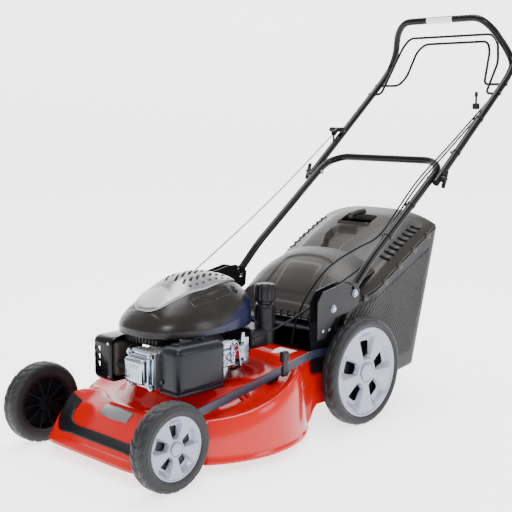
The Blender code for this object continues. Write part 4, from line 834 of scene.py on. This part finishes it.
def lid():
    columns = 96
    ys = [BOX_FRONT_Y + (BOX_REAR_Y - BOX_FRONT_Y) * k / 84 for k in range(85)]
    ts = [sin(pi / 2 * (-1 + 2 * k / columns)) for k in range(columns + 1)]

    def row(y, inset=0.0, back=0.0, squeeze=1.0):
        top = [lid_point(t, y, inset) for t in ts]
        seam = between(SEAM, y) + 0.0005
        half = box_half(y) - inset
        line = top + [(half, y, seam + 0.002), (half - 0.0015, y, seam), (-half + 0.0015, y, seam),
                      (-half, y, seam + 0.002)]
        return [(x * squeeze, v + back, z) for x, v, z in line]
    rows = [row(y) for y in ys]
    rows += [row(BOX_REAR_Y, *step) for step in ((0.001, 0.005, 0.997), (0.004, 0.009, 0.99),
                                                 (0.01, 0.0118, 0.975))]
    shell = skin("lid_shell", rows, caps=True, sharp=40)
    well = box("well", (-0.055, 0.905, 0.455), (0.055, 0.96, 0.6), 0.01, 5)
    inside = []
    for y in [0.64 + 0.38 * k / 20 for k in range(21)]:
        at = max(y, BOX_FRONT_Y)
        ring = [lid_point(t, at, 0.003, 0.0) for t in ts[::4]]
        half, seam = box_half(at) - 0.003, between(SEAM, at) - 0.05
        inside.append([(x, y, z - 0.0065 - 0.02 * (1 - smooth(abs(x), 0.055, 0.085))) for x, _, z in ring]
                      + [(half, y, seam), (-half, y, seam)])
    boolean(shell, [well, skin("inside", inside, caps=True)], sharp=40)
    cup = box("cup", (-0.058, 0.902, 0.452), (0.058, 0.963, 0.492), 0.01, 5)
    boolean(cup, [box("cup_hollow", (-0.055, 0.905, 0.455), (0.055, 0.96, 0.6), 0.01, 5)])
    bar = tube("grip_bar", [(0, 0.899, 0.507), (0, 0.93, 0.5135), (0, 0.962, 0.515)], 0.0085, 24)
    piece("box_lid", [shell, cup], "grass_box", BOX_PLASTIC, "grass_box_lid")
    fit(bar, "grass_box", BOX_PLASTIC)
    vents = []
    for side in (1, -1):
        for k in range(8):
            y = 0.838 + 0.02 * k
            line = [Vector(lid_point(side * t, y + 0.06 * (t - 0.8))) for t in
                    [0.775 + 0.125 * i / 6 for i in range(7)]]
            vents.append(tube("vent", [p + Vector((0, 0, 0.0006)) for p in line], 0.0042, 14))
    piece("lid_vents", vents, "grass_box", BLACK_GLOSS)


def stations(line, count):
    """Points along a line of (y, height) corners, with the same number in each stretch."""
    made = []
    for k in range(count + 1):
        share = k / count * (len(line) - 1)
        i = min(int(share), len(line) - 2)
        (a, b), (c, d) = line[i], line[i + 1]
        made.append((a + (c - a) * (share - i), b + (d - b) * (share - i)))
    return made


def basket():
    """The basket's walls, its seam flange with snap tabs, and slanted slats on its sides."""
    count, curve = 40, 0.014
    floors = stations(FLOOR, count)
    knots = (BOX_FRONT_Y, 0.68, 0.844, 0.96, BOX_REAR_Y)
    seams = [(y, between(SEAM, y)) for y, _ in stations([(y, 0) for y in knots], count)]

    def wall(k, t, inset=0.0):
        """A point of the left wall, with t from 0 at the seam to 1 at the floor."""
        (y, z), (fy, fz) = seams[k], floors[k]
        low = 0.16 + 0.03 * smooth(fy, 0.7, 0.8)
        half = box_half(y) * (1 - t) + low * t - inset
        return (half, y * (1 - t) + fy * t, z * (1 - t) + (fz + curve) * t)

    def on_wall(side, place, t, out):
        """A point of either wall at a row with a fraction, moved out."""
        low = int(place)
        p = Vector(wall(low, t)).lerp(Vector(wall(low + 1, t)), place - low)
        return (side * (p.x + out), p.y, p.z)

    def ring(k, inset=0.0):
        fy, fz = floors[k]
        left = [wall(k, t / 10, inset) for t in range(11)]
        low = left[-1][0]
        return both_sides(left + [(low - curve * (1 - cos(a)), fy, fz + inset + curve * (1 - sin(a)))
                                  for a in [pi / 2 * i / 5 for i in range(1, 6)]])
    rows = [ring(k) for k in range(count + 1)]
    back = [(x * 0.985, y + 0.01, z) for x, y, z in rows[-1]]
    body = skin("basket_outer", rows + [back], wrap_points=False, sharp=40)
    lining = skin("basket_inner", [ring(k, 0.0026) for k in range(count + 1)], wrap_points=False, sharp=40)
    shrunk = [(x * 0.6, y + 0.002, z * 0.7 + 0.09) for x, y, z in back]
    closing = skin("basket_back", [back, shrunk], sharp=40)
    bm = bmesh.new()
    bm.faces.new([bm.verts.new(p) for p in shrunk])
    middle = mesh_object("basket_back_middle", bm, 40)
    # The basket's walls take the darker, painted-shade copy of the box plastic.
    piece("basket_walls", [body, lining, closing, middle], "grass_box", BOX_PAINTED_SHADE, "grass_box")
    flange, backing, slats = [], [], []
    for side in (1, -1):
        seam = [wall(k, 0.0) for k in range(4, count + 1)]
        line = [(side * (x - 0.001), y, z - 0.0035) for x, y, z in seam]
        flange.append(tube("seam_bead", line, 0.003, 12))
        for y in (0.735, 0.8, 0.865, 0.93, 0.995):
            z = between(SEAM, y)
            near, far = sorted((side * (box_half(y) - 0.004), side * (box_half(y) + 0.003)))
            flange.append(box("tab", (near, y - 0.011, z - 0.011), (far, y + 0.011, z + 0.0065), 0.0016, 2))
    piece("seam_tabs", flange, "grass_box", BOX_PLASTIC)
    for side in (1, -1):
        grid = []
        for t in [0.15 + 0.74 * i / 10 for i in range(11)]:
            lean = 6.0 * (1 - t)
            grid.append([on_wall(side, 5.5 + lean + (33.0 - lean) * k / 30, t, 0.0005) for k in range(31)])
        backing.append(skin("backing", grid, wrap_points=False))
    piece("slat_shadows", backing, "grass_box", SLAT_DARK)
    for side in (1, -1):
        for k in range(34):
            places = [(5 + 0.97 * k + 6.0 * (1 - t), t) for t in [0.14 + 0.76 * i / 12 for i in range(13)]]
            line = [on_wall(side, place, t, 0.0008) for place, t in places if 6 <= place <= count - 1]
            if len(line) > 3:
                slats.append(tube("slat", line, 0.0014, 8))
    piece("side_slats", slats, "grass_box", SLAT)


# Handle, controls, ropes and small fittings
TUBE_R = 0.0105
BAIL_R = 0.004
LOWER_RUN, UPPER_RUN = (0, 0.804, 0.595), (0, 0.777, 0.63)
HANDLE_PIVOT, HANDLE_LOCK = (0.56, 0.313), (0.645, 0.342)
DRIVE_PIVOT, BRAKE_PIVOT = (1.29, 0.856), (1.326, 0.8837)
FOLD_FOOT = (0.6, 0.34)
FOLD = (1.000, 0.618)
UPPER_X = 0.2275
GUIDE = Vector((-UPPER_X, 1.095, 0.7335))
ROPE_EXIT = Vector((-0.045, 0.33, 0.405))
PULL = (GUIDE - ROPE_EXIT).normalized()


def handles():
    lower = [(0.2043, 0.548, 0.309), (0.2043, *HANDLE_LOCK), (0.2048, 0.731, 0.423), (0.206, 1.008, 0.628),
             (0.2, 1.038, 0.648), (0.16, 1.062, 0.664)]
    tube_path = rounded_path(both_sides(lower), 0.035, 8)
    fit(tube("lower_tube", tube_path, TUBE_R, 28), "lower_handle", BLACK_GLOSS, "lower_handle")
    upper = [(UPPER_X, 0.985, 0.6065), (UPPER_X, 1.345, 0.8985), (0.225, 1.388, 0.944), (0.205, 1.383, 0.987),
             (0.172, 1.347, 1.052), (0.135, 1.33, 1.083)]
    eye = [(0.005, 0.0012), (0.0062, 0.0022), (0.0078, 0.0016), (0.0085, 0), (0.0078, -0.0016),
           (0.0062, -0.0022), (0.005, -0.0012)]
    parts = [tube("upper_tube", rounded_path(both_sides(upper), 0.03, 8), TUBE_R, 28),
             drum("post", (GUIDE.x, GUIDE.y, GUIDE.z - 0.0193), Z, 0.003, 0.0286, 20),
             turned("eye", eye, GUIDE, PULL, 36)]
    piece("upper_tube_eye", parts, "upper_handle", BLACK_GLOSS, "upper_handle")
    plugs = [drum("plug", (side * UPPER_X, 0.9846, 0.6062), UPPER_RUN, 0.0085, 0.004) for side in (1, -1)]
    piece("tube_plugs", plugs, "upper_handle", BLACK_PLASTIC)
    drive = [(0.233, *DRIVE_PIVOT), (0.1925, *DRIVE_PIVOT), (0.19, 1.357, 0.95), (0.174, 1.38, 1.008),
             (0.15, 1.385, 1.036)]
    fit(tube("drive_bar", rounded_path(both_sides(drive), 0.016, 8), BAIL_R, 20), "drive_bail", BLACK_GLOSS,
        "drive_bail")
    brake = [(0.233, *BRAKE_PIVOT), (0.164, *BRAKE_PIVOT), (0.164, 1.352, 0.985), (0.15, 1.36, 1.013),
             (-0.075, 1.36, 1.013), (-0.1, 1.353, 0.99), (-0.125, 1.334, 0.91), (-0.15, *BRAKE_PIVOT),
             (-0.233, *BRAKE_PIVOT)]
    fit(tube("brake_bar", rounded_path(brake, 0.016, 8), BAIL_R, 20), "brake_bail", BLACK_GLOSS, "brake_bail")


def knobs():
    for side, label in ((1, "left"), (-1, "right")):
        knob = f"fold_knob_{label}"
        hub = [(0, -0.007), (0.0085, -0.007), (0.009, -0.0062), (0.0082, 0.003), (0.0066, 0.0066),
               (0.004, 0.0075), (0, 0.0075)]
        parts = [drum("shank", (side * 0.219, *FOLD), X, 0.004, 0.048, 20),
                 turned("hub", hub, (side * 0.246, *FOLD), X * side, 32)]
        for a in (radians(70), radians(250)):
            along = Vector((0, cos(a), sin(a)))
            place = Matrix.Translation(Vector((side * 0.248, *FOLD)) + along * 0.0125)
            parts.append(box("wing", (-0.004, -0.006, -0.0135), (0.004, 0.006, 0.0135), 0.0036, 4,
                             place @ along.to_track_quat("Z", "X").to_matrix().to_4x4()))
        piece(f"wing_knob_{label}", parts, knob, BLACK_PLASTIC, knob)
        fit(drum("nut", (side * 0.193, *FOLD), X, 0.0075, 0.004, 6), knob, ZINC)
        bolt = [drum("washer", (side * 0.2192, *HANDLE_LOCK), X, 0.0105, 0.0014, 36, 0.0004),
                drum("shank", (side * 0.203, *HANDLE_LOCK), X, 0.004, 0.034, 20),
                drum("head", (side * 0.2215, *HANDLE_LOCK), X, 0.0085, 0.0046, 6, 0.0008)]
        piece(f"handle_lock_{label}", bolt, "lower_handle", ZINC, f"lock_bolt_{label}")
        pivot = [drum("pivot_head", (side * 0.2204, *HANDLE_PIVOT), X, 0.0075, 0.0052, 6, 0.0008),
                 drum("pivot_washer", (side * 0.2184, *HANDLE_PIVOT), X, 0.01, 0.0012, 36, 0.0004)]
        pivot += [drum("rivet", (side * 0.2186, y, 0.262), X, 0.0042, 0.003, 24, 0.0008)
                  for y in (0.52, 0.545)]
        piece(f"bracket_fixings_{label}", pivot, "chassis", ZINC)
        ends = [drum("bush", (side * 0.2395, *end), X, 0.0062, 0.003, 28, 0.0008)
                for end in (DRIVE_PIVOT, BRAKE_PIVOT)]
        piece(f"bail_bushes_{label}", ends, "upper_handle", BLACK_PLASTIC)


def throttle():
    y, z = 1.212, 0.815
    parts = [box("pod", (0.2, y - 0.01, z - 0.006), (0.216, y + 0.01, z + 0.012), 0.004, 4),
             box("stick", (0.2055, y - 0.0032, z), (0.2105, y + 0.0032, z + 0.036), 0.0016, 3),
             box("tip", (0.204, y - 0.005, z + 0.03), (0.212, y + 0.005, z + 0.045), 0.0032, 4)]
    for foot in [z + 0.033 + 0.003 * k for k in range(3)]:
        parts.append(box("rib", (0.2036, y - 0.0052, foot), (0.2124, y + 0.0052, foot + 0.0012), 0.0005, 2))
    piece("throttle_stick", parts, "throttle", BLACK_PLASTIC, "throttle_lever")


def starter():
    seat = GUIDE + PULL * 0.003
    stem = turned("stem", [(0, 0.0005), (0.008, 0.0005), (0.0082, 0.003), (0.007, 0.011), (0.0062, 0.0225),
                           (0, 0.0225)], seat, PULL, 36)
    grip = turned("grip", [(0, -0.03), (0.005, -0.03), (0.0072, -0.028), (0.008, -0.024), (0.0074, -0.012),
                           (0.007, 0), (0.0074, 0.012), (0.008, 0.024), (0.0072, 0.028), (0.005, 0.03),
                           (0, 0.03)], seat + PULL * 0.026, X, 36)
    piece("pull_grip", [stem, grip], "starter_grip", BLACK_PLASTIC, "starter_grip")


def strands():
    """The rope and the cables, each cut into a low and a high stretch."""
    end = GUIDE + PULL * 0.002
    rope = []
    for i in range(33):
        t = i / 32
        here = ROPE_EXIT.lerp(end, t)
        rope.append(Vector((here.x, here.y, here.z - 0.012 * sin(pi * t))))
    rope[-1] = end
    drive = rounded_path([(0.2125, 1.27, 0.833), (0.2125, 1.065, 0.704), (0.19, 0.95, 0.615),
                          (0.19, 0.78, 0.47), (0.175, 0.705, 0.448), (0.135, 0.64, 0.405),
                          (0.102, 0.592, 0.33), (0.09, 0.562, 0.26), (0.087, 0.552, 0.2)], 0.06, 8)
    engine = rounded_path([(0.2125, 1.3, 0.842), (0.2125, 1.065, 0.693), (0.19, 0.955, 0.604),
                           (0.19, 0.72, 0.402), (0.182, 0.64, 0.37), (0.17, 0.54, 0.318),
                           (0.16, 0.43, 0.28), (0.15, 0.338, 0.262)], 0.06, 8)
    for name, node, path, radius in (("rope", "starter_rope", rope, 0.0016),
                                     ("drive_hose", "drive_cable", drive[::-1], 0.0025),
                                     ("engine_hose", "engine_cable", engine[::-1], 0.0025)):
        fine = [path[0]]
        for one, other in zip(path, path[1:]):
            steps = max(1, int((other - one).length / 0.012))
            fine += [one.lerp(other, (k + 1) / steps) for k in range(steps)]
        low = [p for p in fine if p.y <= 0.8]
        high = [p for p in fine if p.y > 0.8]
        for part, line, bodies, around in (("low", low + high[:1], ("chassis", "lower_handle"), FOLD_FOOT),
                                           ("high", high, ("lower_handle", "upper_handle"), FOLD)):
            made = tube(f"{name}_{part}", line, radius, 16)
            made.data.transform(Matrix.Translation((0, SHIFT, 0)))
            made.data.materials.append(RUBBER)
            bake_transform(made)
            if part == "low":
                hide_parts(node)


def clips():
    for handle, (x, y, z), (rise_y, rise_z), shares, reach, along in (
            ("lower", (0.2055, 0.731, 0.423), (0.277, 0.205), (0.25, 0.62), 0.019, LOWER_RUN),
            ("upper", (UPPER_X, 0.985, 0.6065), (0.36, 0.292), (0.28, 0.6), 0.02, UPPER_RUN)):
        parts = []
        for share in shares:
            place = Vector((x, y + rise_y * share, z + rise_z * share))
            band = [(0.0107, -0.004), (0.0122, -0.004), (0.0122, 0.004), (0.0107, 0.004)]
            parts += [turned("clip", band, place, along, 40),
                      box("clip_hook", (place.x - reach, place.y - 0.004, place.z - 0.004),
                          (place.x - 0.0105, place.y + 0.004, place.z + 0.004), 0.0016, 2)]
        piece(f"{handle}_clips", parts, f"{handle}_handle", BLACK_PLASTIC)
    around, radius = Vector((0, 1.33, 1.083)), TUBE_R + 0.0006
    bend = [radians(140 + 130 * k / 16) for k in range(17)]
    rows = [[(x, around.y + radius * cos(a), around.z + radius * sin(a)) for a in bend]
            for x in (-0.046, 0.046)]
    fit(skin("bar_label", rows, wrap_points=False), "upper_handle", LABEL)


# Pieces that lie on the deck
def on_top(surface, x, y, lift):
    """The point above (x, y) on the surface, raised by the lift."""
    back = surface.matrix_world.inverted()
    start = back @ Vector((x, y + SHIFT, 0.5))
    found, place, _, _ = surface.ray_cast(start, Vector((0, 0, -1)))
    return Vector((x, y, (surface.matrix_world @ place).z + lift)) if found else None


def strip(name, surface, line, widths, thickness):
    """A moulded strip that lies on the surface along a line of (x, y) points."""
    fine = rounded_path([(x, y, 0) for x, y in line], 0.03, 8)
    rows = []
    for i, here in enumerate(fine):
        along = (fine[min(i + 1, len(fine) - 1)] - fine[max(i - 1, 0)]).normalized()
        side = Vector((-along.y, along.x, 0)) * between(widths, i / (len(fine) - 1))
        row = []
        for sign, lift in ((1, 0.0004), (0.97, thickness * 0.7), (0.86, thickness),
                           (0.5, thickness * 1.15), (0, thickness * 1.2), (-0.5, thickness * 1.15),
                           (-0.86, thickness), (-0.97, thickness * 0.7), (-1, 0.0004)):
            spot = on_top(surface, here.x + side.x * sign, here.y + side.y * sign, lift)
            if spot is None:
                break
            row.append(spot)
        if len(row) == 9:
            rows.append(row)
    return skin(name, rows, caps=True, sharp=50)


def deck_trim(surface):
    half = [(0.163, 0.052), (0.16, 0.02), (0.138, -0.004), (0.095, -0.0095), (0.05, -0.01)]
    line = half + [(-x, y) for x, y in reversed(half)]
    arms = [(0.0, 0.018), (0.12, 0.019), (0.22, 0.015), (0.32, 0.0085), (0.68, 0.0085), (0.78, 0.015),
            (0.88, 0.019), (1.0, 0.018)]
    fit(strip("nose_grip", surface, line, arms, 0.0042), "chassis", BLACK_PLASTIC, "nose_trim")
    badge = [(0.05, 0.043), (0.02, 0.0415), (-0.02, 0.0415), (-0.05, 0.043)]
    fit(strip("blank_badge", surface, badge, [(0, 0.0115), (0.5, 0.0135), (1, 0.0115)], 0.0022), "chassis",
        PANEL_SILVER, "badge_plate")
    rows = [[on_top(surface, 0.04 + 0.06 * k / 10, 0.524 + 0.036 * i / 6, 0.0004) for k in range(11)]
            for i in range(7)]
    fit(skin("deck_label", rows, wrap_points=False), "chassis", LABEL)


# Floor, light and camera
CAMERA_TURN = 43.7187
CAMERA_RISE = 8.3986
CAMERA_ROLL = 0.2445
CAMERA_PLACE = (1.755, -1.328 + SHIFT, 0.8043)
LENS, SENSOR = 69.47, 36.0
FLOOR_GLOW, WORLD_GLOW = 2.0, 0.95
AIM = Vector((0, 0, 0.4))
LAMPS = (
    ("key", (2.6, -3.2, 3.6), (1.4, 1.4), 130),
    ("top", (-0.4, 0.2, 3.8), (2.0, 2.0), 120),
    ("left", (3.6, 1.6, 1.8), (1.2, 2.2), 50),
)


def stage():
    """A pale floor that curves up behind, a white world and three soft lamps."""
    bm = bmesh.new()
    rows = []
    bend = [pi / 16 * k for k in range(1, 9)]
    curve = [(4.5 + 1.5 * sin(a), 1.5 - 1.5 * cos(a)) for a in bend]
    for y, z in [(-6, 0), (4.5, 0)] + curve + [(6.0, 8.0)]:
        rows.append([bm.verts.new((x, y, z)) for x in (-9.0, 9.0)])
    for one, other in zip(rows, rows[1:]):
        bm.faces.new((one[0], one[1], other[1], other[0]))
    floor = mesh_object("floor", bm, 60)
    floor.data.transform(Matrix.Rotation(radians(CAMERA_TURN), 4, "Z"))
    white = finish("pale_floor", (0.92, 0.92, 0.93), 0.75, mottle=0.004, patch=0.7, shine=0.1)
    glow = white.node_tree.nodes["Principled BSDF"].inputs
    glow["Emission Color"].default_value = (1.0, 1.0, 1.0, 1)
    glow["Emission Strength"].default_value = FLOOR_GLOW
    floor.data.materials.append(white)
    world = bpy.data.worlds.new("studio")
    world.use_nodes = True
    sky = world.node_tree.nodes["Background"]
    sky.inputs["Color"].default_value = (1.0, 1.0, 1.0, 1)
    sky.inputs["Strength"].default_value = WORLD_GLOW
    SCENE.world = world
    for name, place, size, power in LAMPS:
        light = bpy.data.lights.new(name, "AREA")
        light.shape = "RECTANGLE"
        light.size, light.size_y = size
        light.energy = power
        lamp = bpy.data.objects.new(name, light)
        lamp.location = place
        lamp.rotation_euler = (AIM - Vector(place)).to_track_quat("-Z", "Y").to_euler()
        SCENE.collection.objects.link(lamp)


def camera():
    turn, rise = radians(CAMERA_TURN), radians(CAMERA_RISE)
    back = Vector((sin(turn) * cos(rise), -cos(turn) * cos(rise), sin(rise)))
    lens = bpy.data.cameras.new("camera")
    lens.lens, lens.sensor_width = LENS, SENSOR
    view = bpy.data.objects.new("camera", lens)
    roll = Matrix.Rotation(radians(CAMERA_ROLL), 4, back)
    view.matrix_world = Matrix.Translation(Vector(CAMERA_PLACE)) @ roll @ turn_to(back)
    SCENE.collection.objects.link(view)
    SCENE.camera = view


def carried_nodes():
    """Finishes for the solids whose own shape is shown."""
    for look, nodes in CARRIED:
        for node in nodes:
            materials = frame["nodes"][node].data.materials
            materials.clear()
            materials.append(look)


CARRIED = (
    (BLUE_BLACK, ("height_link",)),
    (BLACK_PLASTIC, ("height_rack", "height_catch", "gearbox", "oil_dipstick", "rear_housing",
                     "handle_bracket_left", "handle_bracket_right")),
    (BLACK_GLOSS, ("front_axle", "rear_axle", "blade")),
    (STEEL, ("gearbox_pulley", "drive_shaft", "crankshaft", "blade_bolt", "flap_pin")),
    (RUBBER, ("drive_belt", "spark_plug")),
    (CAST, ("flywheel", "engine_block", "cylinder_head")),
    (CAST_DARK, ("blade_adapter",)),
    (FOAM, ("air_filter_element",)),
    (ZINC, ("carburettor", "engine_brake_lever")),
)

carried_nodes()
camera()
wheels()
deck_trim(deck())
engine_cover()
top_panel()
filter_cover()
muffler_shell()
rocker()
linkages()
fuel()
rear_flap()
lid()
basket()
handles()
knobs()
throttle()
starter()
strands()
clips()

stage()


def visible_bounds():
    """The box round everything that is shown and belongs to the object."""
    bpy.context.view_layer.update()
    lows, highs = [], []
    for obj in SCENE.objects:
        if obj.type in ("MESH", "CURVE") and obj.get("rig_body") and not obj.hide_render:
            corners = [obj.matrix_world @ Vector(corner) for corner in obj.bound_box]
            lows.append([min(c[i] for c in corners) for i in range(3)])
            highs.append([max(c[i] for c in corners) for i in range(3)])
    return [min(v[i] for v in lows) for i in range(3)], [max(v[i] for v in highs) for i in range(3)]


low, high = visible_bounds()
